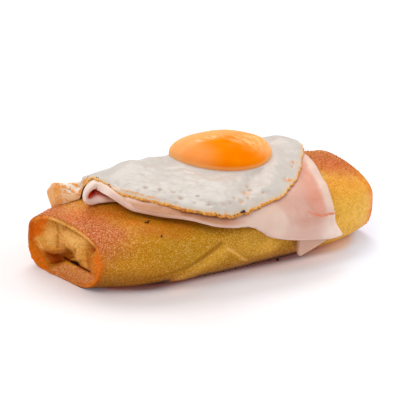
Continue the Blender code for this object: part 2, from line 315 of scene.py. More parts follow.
def finish_mesh(mesh, data, material):
    """Writes a built mesh to its data, smooth and with its material, and adds it to the scene."""
    mesh.to_mesh(data)
    mesh.free()
    data.shade_smooth()
    data.materials.append(material)
    print(data.name, len(data.polygons), "faces")
    return put(data.name, data)


def skin(name, rows, tints, material):
    """A closed mesh from an array of rings of points, with a number for each point and tint."""
    count, around = rows.shape[:2]
    ring = np.arange(around)
    corner = np.arange(count - 1)[:, None] * around
    after = (ring + 1) % around
    faces = np.stack([corner + ring, corner + after, corner + around + after, corner + around + ring], -1)
    data = bpy.data.meshes.new(name)
    data.from_pydata(rows.reshape(-1, 3), [], faces.reshape(-1, 4))
    for tint, values in tints.items():
        layer = data.attributes.new(tint, "FLOAT", "POINT")
        layer.data.foreach_set("value", np.asarray(values, np.float32).ravel())
    mesh = bmesh.new()
    mesh.from_mesh(data)
    bmesh.ops.remove_doubles(mesh, verts=mesh.verts, dist=MERGED)
    bmesh.ops.recalc_face_normals(mesh, faces=mesh.faces)
    if mesh.calc_volume(signed=True) < 0:
        bmesh.ops.reverse_faces(mesh, faces=mesh.faces)
    return finish_mesh(mesh, data, material)


# %% [markdown]
# ## Writing node trees as sums
# A finish is a small calculation: so much brown where it is toasted, a little lighter on each blister.
# Written with nodes by hand that takes pages. Here a socket is wrapped, so that plus, minus and times
# add the Math nodes, and a bench has short ways for the others. A colour is a ground with coats of other
# tones laid over it in turn.

# %% Node helpers


class Wire:
    """An output socket: an expression on it adds Math nodes to its tree."""

    def __init__(self, bench, socket):
        self.bench = bench
        self.socket = socket

    def math(self, operation, other=0, clamp=False):
        return self.bench.add("ShaderNodeMath", {0: self, 1: other}, operation=operation, use_clamp=clamp)

    def __add__(self, other):
        return self.math("ADD", other)

    def __sub__(self, other):
        return self.math("SUBTRACT", other)

    def __mul__(self, other):
        return self.math("MULTIPLY", other)

    def __pow__(self, other):
        return self.math("POWER", other)

    def __rsub__(self, other):
        return self * -1 + other

    def __rtruediv__(self, other):
        return self ** -1 * other

    __radd__ = __add__
    __rmul__ = __mul__

    def within(self):
        """The same number, kept between 0 and 1."""
        return self.math("ADD", 0, clamp=True)


class Bench:
    """A node tree, with short ways to add the nodes that are wanted most often."""

    def __init__(self, tree):
        self.tree = tree

    def feed(self, socket, value):
        if isinstance(value, Wire):
            self.tree.links.new(value.socket, socket)
        else:
            socket.default_value = value

    def add(self, kind, inputs=None, output=0, **settings):
        """A new node; what comes back is the wire of the output that is asked for."""
        node = self.tree.nodes.new(kind)
        for name, value in settings.items():
            setattr(node, name, value)
        for key, value in (inputs or {}).items():
            self.feed(node.inputs[key], value)
        return Wire(self, node.outputs[output])

    def number(self, name):
        """A number that is kept on the points."""
        return self.add("ShaderNodeAttribute", output="Fac", attribute_name=name)

    def fade(self, value, low, high):
        """A smooth step from 0 at low to 1 at high."""
        inputs = {"Value": value, "From Min": low, "From Max": high}
        return self.add("ShaderNodeMapRange", inputs, interpolation_type="SMOOTHSTEP")

    def blend(self, share, first, second):
        """The first colour at 0 and the second at 1; a share outside that is kept to it."""
        return self.add("ShaderNodeMix", {0: share, 6: first, 7: second}, 2, data_type="RGBA")

    def layered(self, ground, coats):
        """A ground with coats of colour laid over it in turn, each with its own share."""
        for share, tone in coats:
            ground = self.blend(share, ground, tone)
        return ground

    def noise(self, place, size, detail=2.0):
        return self.add("ShaderNodeTexNoise", {"Vector": place, "Scale": 1 / size, "Detail": detail})

    def cells(self, place, size, **settings):
        """The distance to the nearest of many points strewn with the given spacing."""
        inputs = {"Vector": place, "Scale": 1 / size}
        return self.add("ShaderNodeTexVoronoi", inputs, "Distance", **settings)

    def bump(self, strength, depth, height):
        inputs = {"Strength": strength, "Distance": depth, "Height": height}
        return self.add("ShaderNodeBump", inputs, "Normal")


def paint(red, green, blue):
    """A colour picked on screen, 0 to 255, as the light that it stands for."""
    share = [v / 255 for v in (red, green, blue)]
    return [v / 12.92 if v < 0.04 else ((v + 0.055) / 1.055) ** 2.4 for v in share] + [1]


def start_finish(name):
    """A new material, with its bench and the place on the piece."""
    material = bpy.data.materials.new(name)
    material.use_nodes = True
    print("finish:", name)
    bench = Bench(material.node_tree)
    return material, bench, bench.add("ShaderNodeTexCoord", output="Object")


def dress(bench, colour, rough, shine, coat=(0, 0), scatter=(0, (1, 1, 1), 1), **others):
    """Feeds the shader; a coat is a share and a roughness, and scattering a share, how far red, green
    and blue light go, and the scale of that in mm."""
    looks = {"Base Color": colour, "Roughness": rough, "Specular IOR Level": shine,
             "Coat Weight": coat[0], "Coat Roughness": coat[1], "Subsurface Weight": scatter[0],
             "Subsurface Radius": scatter[1], "Subsurface Scale": scatter[2] * MM}
    shader = bench.tree.nodes["Principled BSDF"]
    for key, value in (looks | others).items():
        bench.feed(shader.inputs[key], value)


# %% [markdown]
# ## The crust's finish
# Fried pastry is golden where oil ran freely and red-brown where it lay against the pan. It is covered
# with fine blisters, lighter than the ground between them and glossy with oil. The colour starts from
# gold, is broken up by two sizes of noise, and the numbers kept on the points say where it is toasted
# and where light and shade are painted into it: paler tan and lighter gold for painted light on fold
# tops, ridges and highlights, and olive, dark brown, a dark foot and a line along the front flap for
# painted shade in the folds, under the ham and towards the floor.

# %% Crust material
GOLD = paint(204, 142, 18)
DEEP_GOLD = paint(184, 112, 2)
# Light gold, also used for painted highlights
LIGHT_GOLD = paint(244, 186, 68)
# Olive gold, for painted shade under the ham and inside the left end
OLIVE_SHADE_GOLD = paint(186, 136, 18)
PALE_GRAIN = paint(250, 202, 122)
TOAST_GRAIN = paint(250, 192, 136)
PORE_BROWN = paint(184, 96, 4)
PORE_RED = paint(164, 66, 18)
RED_BROWN = paint(199, 105, 56)
# Orange of the rims, also used for painted warm light under the ham and a painted glow on the end's inner
# wall
EDGE_ORANGE_AND_GLOW = paint(232, 113, 0)
# Browns for painted shade towards the floor and in the slits of the end
FOOT_SHADE_BROWN = paint(124, 68, 2)
SHADOW_DARK = paint(38, 12, 0)
# Brown for a painted shadow line along the front flap
SEAM_SHADOW_BROWN = paint(132, 76, 6)
# Tan for painted light on the folds, ridges and edges
LIT_FOLD_TAN = paint(248, 192, 106)
# Dark brown for painted shade, and for the darker toasted top at the right
SHADE_AND_DARK_BROWN = paint(172, 74, 0)


def crust_material():
    material, bench, place = start_finish("fried_crust")
    broad = bench.fade(bench.noise(place, 14 * MM, 3), 0.35, 0.65)
    patch = bench.fade(bench.noise(place, 3.5 * MM, 3), 0.35, 0.7)
    fine = bench.noise(place, 0.5 * MM, 1)
    mixed = fine + (0.5 - bench.cells(place, 1.0 * MM)) * 0.25
    grain, pore = bench.fade(mixed, 0.5, 0.68), bench.fade(mixed, 0.48, 0.3)
    tints = ("toast", "rim", "olive", "deep", "pale", "bright", "foot", "seam")
    toast, rim, olive, deep, pale, bright, foot, seam = map(bench.number, tints)
    light = 0.38 + toast * 0.12 + bright * 0.15 - foot * 0.2
    colour = bench.layered(GOLD, [
        (broad * 0.55, DEEP_GOLD),
        # painted shade: olive where the ham and the folds shade the crust, with some random olive patches
        (olive * 0.8 + patch * 0.2, OLIVE_SHADE_GOLD),
        # lighter gold on the right end, partly painted light, and painted highlights on the front flap
        (bright * (0.9 - patch * 0.3), LIGHT_GOLD),
        (toast * (0.75 + patch * 0.4), RED_BROWN),
        # painted light: paler tan on fold tops, ridges and lit edges
        (pale * (0.7 + broad * 0.3), LIT_FOLD_TAN),
        # orange rims, with painted warm light under the ham and a painted glow on the end's inner wall
        (rim * (0.6 + patch * 0.5), EDGE_ORANGE_AND_GLOW),
        # painted shade towards the floor in front
        ((foot * (1 + patch * 0.2)).within() * 0.9, FOOT_SHADE_BROWN),
        (pore * (0.5 - bright * 0.3), bench.blend(toast, PORE_BROWN, PORE_RED)),
        (grain * light * (1 - rim.within() * 0.8), bench.blend(toast, PALE_GRAIN, TOAST_GRAIN)),
        # painted shade in the deep folds, by the left end and under the ham's edge
        (deep, SHADE_AND_DARK_BROWN),
        # painted shadow at the contact with the floor and in the slits of the end
        (bench.fade(foot + fine * 0.1, 0.8, 1.0), SHADOW_DARK),
        # a painted shadow line along the flap's rising edge
        (bench.fade(seam + fine * 0.3, 0.65, 1.15) * 0.7, SEAM_SHADOW_BROWN)])
    dress(bench, colour, rough=0.52 - grain * 0.12 + deep * 0.2, shine=0.07, coat=(grain * 0.15, 0.3),
          scatter=(0.08, (0.9, 0.4, 0.15), 1.2), Normal=bench.bump(0.6, 0.3 * MM, mixed + patch * 0.5))
    return material


crust = crust_material()

# %% [markdown]
# ## The tucked ends
# At each end the pastry is folded in like a parcel: a flap from one side, a soft pillow in the middle, a
# curl on the other side and a lip below, one in front of the other. Each fold is a closed outline with
# its own depth behind the rim and a rounded edge. What shows is always the fold that lies nearest, so
# the smallest depth wins, and dark gaps come by themselves where no fold covers the hollow.

# %% Folds at an end
NO_FOLD, BACK, FLAP, PILLOW, BULGE, CURL, LIP, TUCK = range(-1, 7)
LEAST_DEPTH = 0.2
FLAP_OUTLINE = [(6, 23), (12, 22.6), (18, 18.5), (24, 13), (24.2, 10.6), (20, 8.6), (15, 7.2), (11, 8.6),
                (8, 11.5), (6, 14.5), (4.6, 18)]
TUCK_OUTLINE = [(26, 10), (22.4, 9.4), (19.6, 7.4), (17, 5), (15, 3), (17, 0), (26, -1)]
PILLOW_OUTLINE = [(6, 14.5), (6, 19), (3, 22.6), (-3, 23.6), (-9, 23), (-12, 20.6), (-12, 17), (-11, 12),
                  (-10.5, 7), (-6, 5.8), (-2, 6), (1.5, 7), (4.6, 10)]
BULGE_OUTLINE = [(-5.2, 17), (-5.6, 13.5), (-7.5, 10.5), (-10, 8.6), (-13.5, 7.8), (-17, 7.6), (-16, 9.6),
                 (-14, 12), (-13, 15), (-13.6, 18), (-10.5, 19), (-7.5, 18.6)]
CURL_OUTLINE = [(-21, 20.4), (-18.8, 18.3), (-17.4, 15), (-17.7, 11.5), (-17.2, 8.2), (-21, 8), (-25, 11),
                (-26, 17), (-24, 20.6)]
LIP_EDGE = [(-30, 8.8), (-26, 8.5), (-18, 8), (-9.5, 7.6), (-2.6, 7.0), (2.3, 6.2), (5, 4.6), (8, 3),
            (13.9, 0.3), (20, -3), (30, -6)]


def closed_curve(points, steps=5):
    """Points along a smooth closed curve through the corners of an outline."""
    p = np.array(points, float)
    t = (np.arange(steps) / steps)[None, :, None]
    a, b, c, d = (np.roll(p, shift, 0)[:, None] for shift in (1, 0, -1, -2))
    curve = b + (c - a) / 2 * t + (a - 2.5 * b + 2 * c - d / 2) * t ** 2
    curve += (1.5 * (b - c) + (d - a) / 2) * t ** 3
    return curve.reshape(-1, 2)


def within_outline(outline, y, z):
    """How far a point lies inside a closed outline, in mm; outside it is negative."""
    curve = closed_curve(outline)
    nearest = np.full(y.shape, 1e9)
    inside = np.zeros(y.shape, bool)
    for (y0, z0), (y1, z1) in zip(curve, np.roll(curve, -1, 0)):
        run_y, run_z = y1 - y0, z1 - z0
        share = np.clip(((y - y0) * run_y + (z - z0) * run_z) / (run_y ** 2 + run_z ** 2), 0, 1)
        nearest = np.minimum(nearest, np.hypot(y - y0 - share * run_y, z - z0 - share * run_z))
        crosses = (z0 > z) != (z1 > z)
        crossing = y0 + run_y * (z - z0) / np.where(crosses, run_z, 1)
        inside ^= crosses & (y < crossing)
    return np.where(inside, nearest, -nearest)


def rounded(inside, radius):
    """The extra depth of a fold towards and past its own edge."""
    return 0.6 * radius * np.maximum(1 - inside / radius, 0) ** 2.6


def end_folds(y, z):
    """The depth of the tucked pastry behind the rim, in mm, and where each fold shows."""
    a, b = y / MM, z / MM

    def mound(centre, reach, tilt=0.0):
        return spot(y, z, centre, reach, tilt)

    back = 7.5 - 5.4 * mound((18, 19), (9, 5), -0.75) - 3.0 * mound((0, 24), (9, 3))
    flap = 0.9 + 3.6 * ease((b - 9) / 12) - 1.2 * mound((11, 17), (4.5, 3.5), -0.6)
    flap += rounded(within_outline(FLAP_OUTLINE, a, b), 2.2)
    tuck = 2.0 + rounded(within_outline(TUCK_OUTLINE, a, b), 1.6)
    pillow = 3.4 - 2.6 * mound((-2, 18.5), (5.5, 4.5)) - 1.6 * mound((-10, 20), (5, 3), -0.3)
    pillow += 2.0 * mound((1.5, 9), (4, 3), 0.2)
    pillow += rounded(within_outline(PILLOW_OUTLINE, a, b), 3.0)
    bulge = 0.9 + 0.5 * np.maximum(-7.5 - a, 0) * ease((b - 8) / 3)
    bulge += rounded(within_outline(BULGE_OUTLINE, a, b), 2.0)
    curl = 0.5 + rounded(within_outline(CURL_OUTLINE, a, b), 1.8)
    lip = 0.8 + rounded(through(LIP_EDGE, a) - b, 1.6)
    depths = {BACK: back, FLAP: flap, PILLOW: pillow, BULGE: bulge, CURL: curl, LIP: lip, TUCK: tuck}
    folds = np.stack([depths[fold] for fold in sorted(depths)])
    return np.maximum(folds.min(0), LEAST_DEPTH), folds.argmin(0)


print("depths up the middle of an end:", end_folds(np.zeros(5), np.linspace(4, 24, 5) * MM)[0].round(1))


# %% [markdown]
# ## The roll as a skin
# Rings run from the middle of the left end, out over its folds and its rim, along the body, and back in
# to the middle of the right end. Points around a ring are spread by length, so the blisters come out
# alike on the flat underside and on the tight curve at the front.

# %% Rings of the roll
WRAPPER = 1.3 * MM
RAGGED = 0.8 * MM
LUMP = 0.7 * MM
FLAP_STEP = 0.75 * MM
FLAP_TIP = -18 * MM
FLAP_RISING = [(-62, 2), (-46, 7), (-39, 9), (-32, 11), (-25.5, 14.5), (-18, 19)]
FLAP_FALLING = [(-18, 19), (-11, 14), (-5, 9), (2, 3)]
ROLL_AROUND = 344
END_RINGS = 48
LIP_RINGS = 7
POLE_RINGS = 8
BODY_RINGS = 170
RING_CROWDING = 0.035
END_LEVEL = 0.45
SPREAD_AT = 0.45 * ROLL_LENGTH
SPREAD_STEPS = 4001
TURN_STEP = 0.03


def even_turns():
    """Turns that lie evenly by length round the section near an end."""
    turn = np.linspace(-math.pi, math.pi, SPREAD_STEPS)
    way = walked(np.stack(roll_section(np.full_like(turn, SPREAD_AT), turn), -1), 0)
    return np.interp(np.arange(ROLL_AROUND) / ROLL_AROUND * way[-1], way, turn)


def side_relief(x, y, z):
    """The wrapper's last corner, raised on the front, and the soft unevenness of the rest."""
    edge = np.interp(x / MM, *zip(*(FLAP_RISING + FLAP_FALLING[1:]))) * MM
    off_tip = x - FLAP_TIP
    softness = 0.7 * MM + np.where(off_tip < 0, 0.12 * -off_tip, 0.35 * off_tip)
    hollow = before(np.abs(z - edge - 3 * MM), 7, 7) * before(x, -8, 8)
    flap = (ease((edge - z) / softness + 0.5) - 0.9 * hollow) * (y < 0)
    lump = uneven(x, y - z, 14, 1) + 0.6 * uneven(x, z, 6, 2)
    fade = past(z, 0, 5) * past(ROLL_LENGTH / 2 - np.abs(x), 0, 5)
    return (FLAP_STEP * flap - LUMP * (0.5 + 0.3 * lump)) * fade


def body_ring(x, turn):
    """A ring of the body, raised and lowered across the section by the side's relief."""
    y, z = roll_section(x, turn)
    out_y, out_z = roll_section(x, turn + TURN_STEP)
    in_y, in_z = roll_section(x, turn - TURN_STEP)
    along = np.hypot(out_y - in_y, out_z - in_z)
    lift = side_relief(x, y, z)
    y = y + lift * (out_z - in_z) / along
    return y, np.maximum(z - lift * (out_y - in_y) / along, 0)


def end_ring(step, side, turn):
    """A ring of an end, counted from its middle: first the folds, then the rolled rim."""
    end_x = side * ROLL_LENGTH / 2
    y, z = roll_section(np.full_like(turn, end_x), turn)
    middle_z = END_LEVEL * float(swollen(end_x, ROLL_HEIGHT, HEIGHT_TAPER))
    radius = np.hypot(y, z - middle_z)
    curl = max(step - END_RINGS, 0) / LIP_RINGS * math.pi
    inset = WRAPPER * (1 + math.cos(curl)) / 2
    share = min(step / END_RINGS, 1) * (radius - inset) / radius
    y, z = y * share, middle_z + (z - middle_z) * share
    wall = past(radius - inset - radius * share, 0, 1.2)
    depth, fold = end_folds(y if side < 0 else -y, z)
    ragged = 0.35 * np.sin(turn * 7 + 1) + 0.2 * np.sin(turn * 17) + 0.3 * uneven(turn / math.pi, 0, 20, 11)
    ragged = ragged * ease(step / POLE_RINGS)
    depth = WRAPPER / 2 * (1 - math.sin(curl)) + depth * MM * wall
    depth = depth + (0.5 + ragged) * RAGGED * math.sin(curl / 2 + math.pi / 2 * (step <= END_RINGS))
    return end_x - side * depth, y, z, depth, fold, wall


TURNS = even_turns()
print("points around the roll:", len(TURNS))

# %% [markdown]
# ## How the crust browned, and where light and shade are painted
# Each number says where one kind of colour lies. The toast is browning; the olive, the dark brown, the
# foot and the line along the flap are painted shade and shadow, the pale tan and the lighter gold are
# painted light, and the orange of the rims also carries painted warm light under the ham and in the end.
# On the body the places are x along the roll, with s from the crown or the height z; inside the left end
# they are y and z. Patches deep in the folds are moved to where the camera sees them.

# %% Numbers for the crust


def around_from_crown(rows):
    """For each point the way round its ring from the crown, counted towards the front."""
    way = walked(rows, 1)
    crown = np.argmin(np.abs(rows[..., 1]) - 10 * rows[..., 2], axis=1)
    return way - np.take_along_axis(way, crown[:, None], 1)


SEEN_DEPTH = 2 * MM
SEEN_ASIDE = 1.64
SEEN_UP = 0.7
# Patches inside the left end, each with its centre, its reach, its tilt and its share: orange rim with
# painted glow, painted light, painted olive shade and painted shade
END_RIM_AND_GLOW = [((18.5, 18.5), (8, 3.4), -0.75, 1.2), ((21, 3.5), (6, 4.5), 0.3, 1),
           ((-21.5, 13.5), (3.6, 6.5), 0, 1.1)]
END_PAINTED_LIGHT = [((-3, 18.5), (5.5, 4), 0, 1.1), ((-10, 20), (5, 2.6), -0.3, 0.8),
            ((2.5, 13.5), (2.2, 4), 0, 0.6), ((-8, 13), (1.6, 5), 0.4, 0.9),
            ((11, 17.5), (5, 4), -0.6, 0.7), ((20, 9.8), (5, 1.2), 0.44, 1.1)]
END_OLIVE_SHADE = [((-3, 11.2), (4.8, 3.2), -0.3, 1.5), ((-1, 24.2), (7.5, 1.6), 0.1, 1.2),
             ((6, 18), (1.4, 5), 0.1, 1), ((19, 7), (4, 1.6), 0.6, 0.6)]
END_SHADE = [((5.6, 15.5), (0.9, 6), 0.06, 0.55), ((20, 7.4), (4, 1.1), 0.6, 0.4),
            ((10.8, 6.4), (6.4, 3.2), 0, 0.85), ((-8.5, 8.6), (9, 0.8), 0.03, 1),
            ((25, 16), (2.6, 8), 0, 0.5), ((-15.6, 13), (1.7, 5.5), -0.15, 0.6),
            ((-18.4, 19.4), (3.4, 1.7), -0.3, 0.5)]


def roll_tints(rows, depth, fold, wall):
    x, y, z = np.moveaxis(rows, -1, 0)
    s = around_from_crown(rows)
    from_end = ROLL_LENGTH / 2 - np.abs(x - np.where(x < 0, END_SLANT, 0) * y)
    outside = fold == NO_FOLD
    left, right, front = outside & (x < 0), outside & (x > 0), outside & (y < 0)
    red_top = spot(x, s, (62, 4), (15, 17), 0.15) * right
    hollow = spot(y, z, (-2, 0), (17, 6))
    toast = before(from_end, 20, 14) * before(s, 40, 16) * left + red_top
    toast += 0.9 * (fold == LIP) * wall * before(depth, 3, 1)
    toast += 0.8 * ~outside * (1 - wall) * hollow * (x < 0)
    # Lighter gold on the right end, partly painted light where the lamp at the right falls.
    bright = right * past(x, 25, 25) * past(s, 8, 14)
    bright = bright * (1 - 0.35 * spot(x, s, (50, 29), (12, 9)))
    # Painted highlights on the raised front flap: on its top, on the side below its rising edge, past its
    # tip and on a spot to its right.
    painted_highlight = 0.6 * spot(x, z, (0, 15.5), (11, 6), -0.3)
    painted_highlight += 0.6 * line(x, z, [(-34, 6), (-25, 11.5), (-17.5, 16)], 5)
    painted_highlight = np.maximum(painted_highlight, 0.55 * line(x, z, [(-17.6, 18.4), (-12, 14.6), (-7, 10.2), (-4, 8.6)], 1.2))
    painted_highlight += 0.4 * spot(x, s, (5.5, 52), (6, 3.5))
    bright = np.maximum(bright, painted_highlight * front)
    inside = ~outside & (x < 0)
    behind = depth - SEEN_DEPTH
    seen_y, seen_z = y - SEEN_ASIDE * behind, z + SEEN_UP * behind
    low = np.maximum(0.25 + 0.75 * before(z, 18, 8), past(y, 17, 4))
    rim = np.where(outside, before(from_end, 3, 3), 1 - 0.8 * wall) * low
    rim *= 1 - 0.9 * inside * hollow
    # Painted warm light: orange on the crust in the shade under the ham's loop.
    rim += 0.5 * left * line(x, s, [(-62, 0), (-53, 12), (-48, 22), (-41, 29), (-32, 34)], 8)
    rim += 0.65 * right * before(from_end, 9, 9) * past(s, 10, 16)
    rim += right * (0.3 * spot(x, s, (57, 11), (11, 8)) + 0.3 * spot(x, s, (52, 27), (14, 7)))
    # Painted light: paler tan on the tops of the folds, on the upper inner wall of the rim and on the lip,
    # a highlight along the ridge of the front flap, the lit edge of the right end and a spot on the crest
    # near the left end.
    pale = 0.35 * ((fold >= FLAP) & (fold <= BULGE)) * wall
    pale += 0.8 * inside * (1 - wall) * past(z, 17, 3) + 0.2 * (fold == LIP) * wall
    ridge_highlight = line(x, z, [(-16.4, 17.6), (-12, 14.2), (-8, 11), (-5, 8.6), (-3, 7.4)], 1)
    pale += (0.6 + 0.4 * uneven(x, z, 1.6, 12)) * ridge_highlight * front
    pale += 0.6 * spot(x, s, (67, 33), (3, 7)) * right + 0.4 * spot(x, s, (-61, -6), (5, 8)) * left
    # Painted shade: darker brown where a fold lies deep, low by the left end and just under the ham's edge;
    # on the toasted top at the right it darkens the crust's own brown.
    deep = 0.6 * past(depth, 4.5, 4) * wall
    deep += 0.2 * red_top
    deep += 0.35 * left * before(from_end, 4, 4) * before(z, 17, 6)
    deep += 0.35 * line(x, s, [(-48, 29), (-42, 34), (-37, 38)], 5) * left
    # Painted shade: olive on the front where the ham shades the crust.
    olive = spot(x, z, (-8, 16), (30, 12), -0.1) + 0.9 * spot(x, z, (-37, 18), (11, 9), -0.4)
    olive *= y < 0
    # Painted shade: the crust darkens towards the floor in front, and in the slit and its hollow inside the
    # left end.
    sole = before(z, 10.5, 5) * past(x, -58, 18)
    foot = 0.84 * before(z, 17, 17) + 0.22 * sole
    foot = foot * front * (1 - bright)
    slit = line(seen_y, seen_z, [(1, 9.2), (-6, 8.9), (-12, 8.5), (-16, 8.4)], 1.3)
    foot += inside * (1.15 * slit + spot(seen_y, seen_z, (-7, 9.6), (3, 1.1), -0.2))
    # A painted shadow line along the rising edge of the raised front flap.
    seam = line(x, z, [(a, b + 0.4) for a, b in FLAP_RISING], 2.6) * front
    seam = seam * (0.85 + 0.15 * past(x, -40, 16)) * past(x, -54, 8)
    for tint, patches in ((rim, END_RIM_AND_GLOW), (pale, END_PAINTED_LIGHT), (olive, END_OLIVE_SHADE), (deep, END_SHADE)):
        for centre, reach, tilt, share in patches:
            tint += share * spot(seen_y, seen_z, centre, reach, tilt) * inside
    beads = toast * past(z, 8, 4) + 0.12 * (z > 3 * MM)
    beads = beads * outside + inside * (1 - wall) * past(z, 15, 4)
    return kept(toast=toast, rim=rim, pale=pale, deep=deep, olive=olive, bright=bright, foot=foot,
                seam=seam, beads=beads, relief=past(z, 0, 1.5))


# %% [markdown]
# ## Joining the rings
# Now the rings are made in their order. Those of the body lie a little closer together in its middle,
# and the left end is cut somewhat aslant.

# %% Roll mesh


def make_roll():
    """All rings from the left end to the right one, each with its depth, its fold and its wall."""
    last = 2 * (END_RINGS + LIP_RINGS) + BODY_RINGS
    rows, depths, folds, walls = [], [], [], []
    for ring in range(last + 1):
        side = -1 if ring <= last / 2 else 1
        step = ring if side < 0 else last - ring
        if step < END_RINGS + LIP_RINGS:
            x, y, z, depth, fold, wall = end_ring(step, side, TURNS)
        else:
            share = (ring - END_RINGS - LIP_RINGS) / BODY_RINGS
            share = share + RING_CROWDING * math.sin(2 * math.pi * share)
            x = np.full_like(TURNS, (share - 0.5) * (ROLL_LENGTH - WRAPPER))
            y, z = body_ring(x, TURNS)
            depth, fold, wall = np.zeros_like(x), np.full(x.shape, NO_FOLD), np.zeros_like(x)
        slant = END_SLANT * ease(np.abs(x) / (ROLL_LENGTH / 2) * 2 - 1) if side < 0 else 0
        rows.append(np.column_stack([x + slant * y, y, z]))
        depths.append(depth)
        folds.append(fold)
        walls.append(wall)
    rows = np.stack(rows)
    return skin("roll_crust", rows, roll_tints(rows, *map(np.stack, (depths, folds, walls))), crust)


roll = make_roll()

# %% [markdown]
# ## Crisp relief by rule
# Blisters cover the whole crust in the same way, so they are a job for Geometry Nodes: each point moves
# along its own normal by the height of the cell that it lies in. The underside stays flat, because the
# number called relief fades there.

# %% Relief tree


def new_tree(name, inputs):
    """An empty geometry tree with named inputs, one of them the material, its bench and its wires."""
    tree = bpy.data.node_groups.new(name, "GeometryNodeTree")
    sockets = [("Geometry", "NodeSocketGeometry", None), *inputs, ("Material", "NodeSocketMaterial", None)]
    for title, kind, value in sockets:
        socket = tree.interface.new_socket(title, in_out="INPUT", socket_type=kind)
        if value is not None:
            socket.default_value = value
    tree.interface.new_socket("Geometry", in_out="OUTPUT", socket_type="NodeSocketGeometry")
    start = tree.nodes.new("NodeGroupInput")
    bench = Bench(tree)
    return tree, bench, {title: Wire(bench, start.outputs[title]) for title, _, _ in sockets}


def close_tree(bench, geometry, material):
    """Every tree ends the same way: real faces, and a material on them."""
    real = bench.add("GeometryNodeRealizeInstances", {0: geometry})
    made = bench.add("GeometryNodeSetMaterial", {"Geometry": real, "Material": material})
    end = bench.tree.nodes.new("NodeGroupOutput")
    bench.feed(end.inputs[0], made)


def grow(piece, tree, values, name=None):
    """Runs a tree on a piece and keeps the result as a plain mesh, on it or on a new piece."""
    modifier = piece.modifiers.new(tree.name, "NODES")
    modifier.node_group = tree
    for item in tree.interface.items_tree:
        if item.in_out == "INPUT" and item.name in values:
            modifier[item.identifier] = values[item.name]
    graph = bpy.context.evaluated_depsgraph_get()
    data = bpy.data.meshes.new_from_object(piece.evaluated_get(graph), preserve_all_data_layers=True,
                                           depsgraph=graph)
    piece.modifiers.remove(modifier)
    data.name = name or piece.name
    if name is None:
        piece.data = data
    made = put(name, data) if name else piece
    print(tree.name, "on", piece.name, "gives", made.name, len(data.polygons), "faces")
    return made


def relief_tree():
    tree, bench, wires = new_tree("blistered", [
        ("Spacing", "NodeSocketFloat", 2.2 * MM), ("Height", "NodeSocketFloat", 0.22 * MM),
        ("Swell size", "NodeSocketFloat", 5 * MM), ("Swell height", "NodeSocketFloat", 0.3 * MM)])
    place = bench.add("GeometryNodeInputPosition")
    normal = bench.add("GeometryNodeInputNormal")
    relief = bench.add("GeometryNodeInputNamedAttribute", {"Name": "relief"}, data_type="FLOAT")
    cell = bench.cells(place, wires["Spacing"])
    size = bench.noise(place, wires["Spacing"] * 2.5)
    blister = bench.fade(cell, 0.5, 0.0) * bench.fade(size, 0.45, 0.65)
    swell = bench.noise(place, wires["Swell size"])
    height = (blister * wires["Height"] + (swell - 0.6) * wires["Swell height"]) * relief
    offset = bench.add("ShaderNodeVectorMath", {0: normal, "Scale": height}, operation="SCALE")
    moved = bench.add("GeometryNodeSetPosition", {"Geometry": wires["Geometry"], "Offset": offset})
    close_tree(bench, moved, wires["Material"])
    return tree


roll = grow(roll, relief_tree(), {"Material": crust})
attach(roll, "root")
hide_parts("roll")

# %% [markdown]
# ## Beads of oil and crust
# Fine beads stand on the toasted band and, far fewer, on the rest of the crust. They are many and alike
# and their place is left to chance, so one tree scatters them: it spreads points over a piece, more of
# them where a number kept on that piece is higher, and sets a small ball of uneven size on each. The
# same tree strews the crumbs along the rim of the egg later.

# %% Scattering tree


def scatter_tree():
    tree, bench, wires = new_tree("scattered", [
        ("Where", "NodeSocketString", "beads"), ("Spacing", "NodeSocketFloat", 1 * MM),
        ("Density", "NodeSocketFloat", 4e5), ("Smallest", "NodeSocketFloat", 0.2 * MM),
        ("Largest", "NodeSocketFloat", 0.4 * MM), ("Seed", "NodeSocketInt", 1)])
    share = bench.add("GeometryNodeInputNamedAttribute", {"Name": wires["Where"]}, data_type="FLOAT")
    dots = bench.add("GeometryNodeDistributePointsOnFaces", {
        "Mesh": wires["Geometry"], "Distance Min": wires["Spacing"], "Density Max": wires["Density"],
        "Density Factor": share, "Seed": wires["Seed"]}, "Points", distribute_method="POISSON")
    ball = bench.add("GeometryNodeMeshUVSphere", {"Segments": 8, "Rings": 5, "Radius": 1.0}, "Mesh")
    ball = bench.add("GeometryNodeSetShadeSmooth", {0: ball})
    sizes = {0: wires["Smallest"], 1: wires["Largest"], "Seed": wires["Seed"]}
    turns = {0: (0, 0, 0), 1: (6, 6, 6), "Seed": 5}
    size, turn = (bench.add("FunctionNodeRandomValue", span, data_type="FLOAT_VECTOR")
                  for span in (sizes, turns))
    strewn = bench.add("GeometryNodeInstanceOnPoints", {
        "Points": dots, "Instance": ball, "Rotation": turn, "Scale": size})
    close_tree(bench, strewn, wires["Material"])
    return tree


scattered = scatter_tree()
beads = grow(roll, scattered, {"Where": "beads", "Spacing": 1.1 * MM, "Density": 5e5, "Smallest": 0.18 * MM,
                               "Largest": 0.42 * MM, "Seed": 3, "Material": crust}, "crust_beads")
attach(beads, "root")

# %% [markdown]
# ## Burnt specks
# Old crumbs in the oil turn black and stick. There are few and each has its own place, so they are
# listed: four on the left of the crust and one at the foot of its front.

# %% Burnt specks
CRUST_SPECKS = [(-42.8, 35.9, 0.4), (-44, 26.2, 0.5), (-43, 25.6, 0.35), (-44.8, 25.8, 0.3)]
FOOT_SPECK = (17.9, -28.9, 0.6)
FOOT_SPECK_SIZE = 0.6
SPECK_LIFT = 0.1 * MM
CHAR_BLACK = paint(46, 22, 14)
CHAR_BROWN = paint(84, 40, 12)


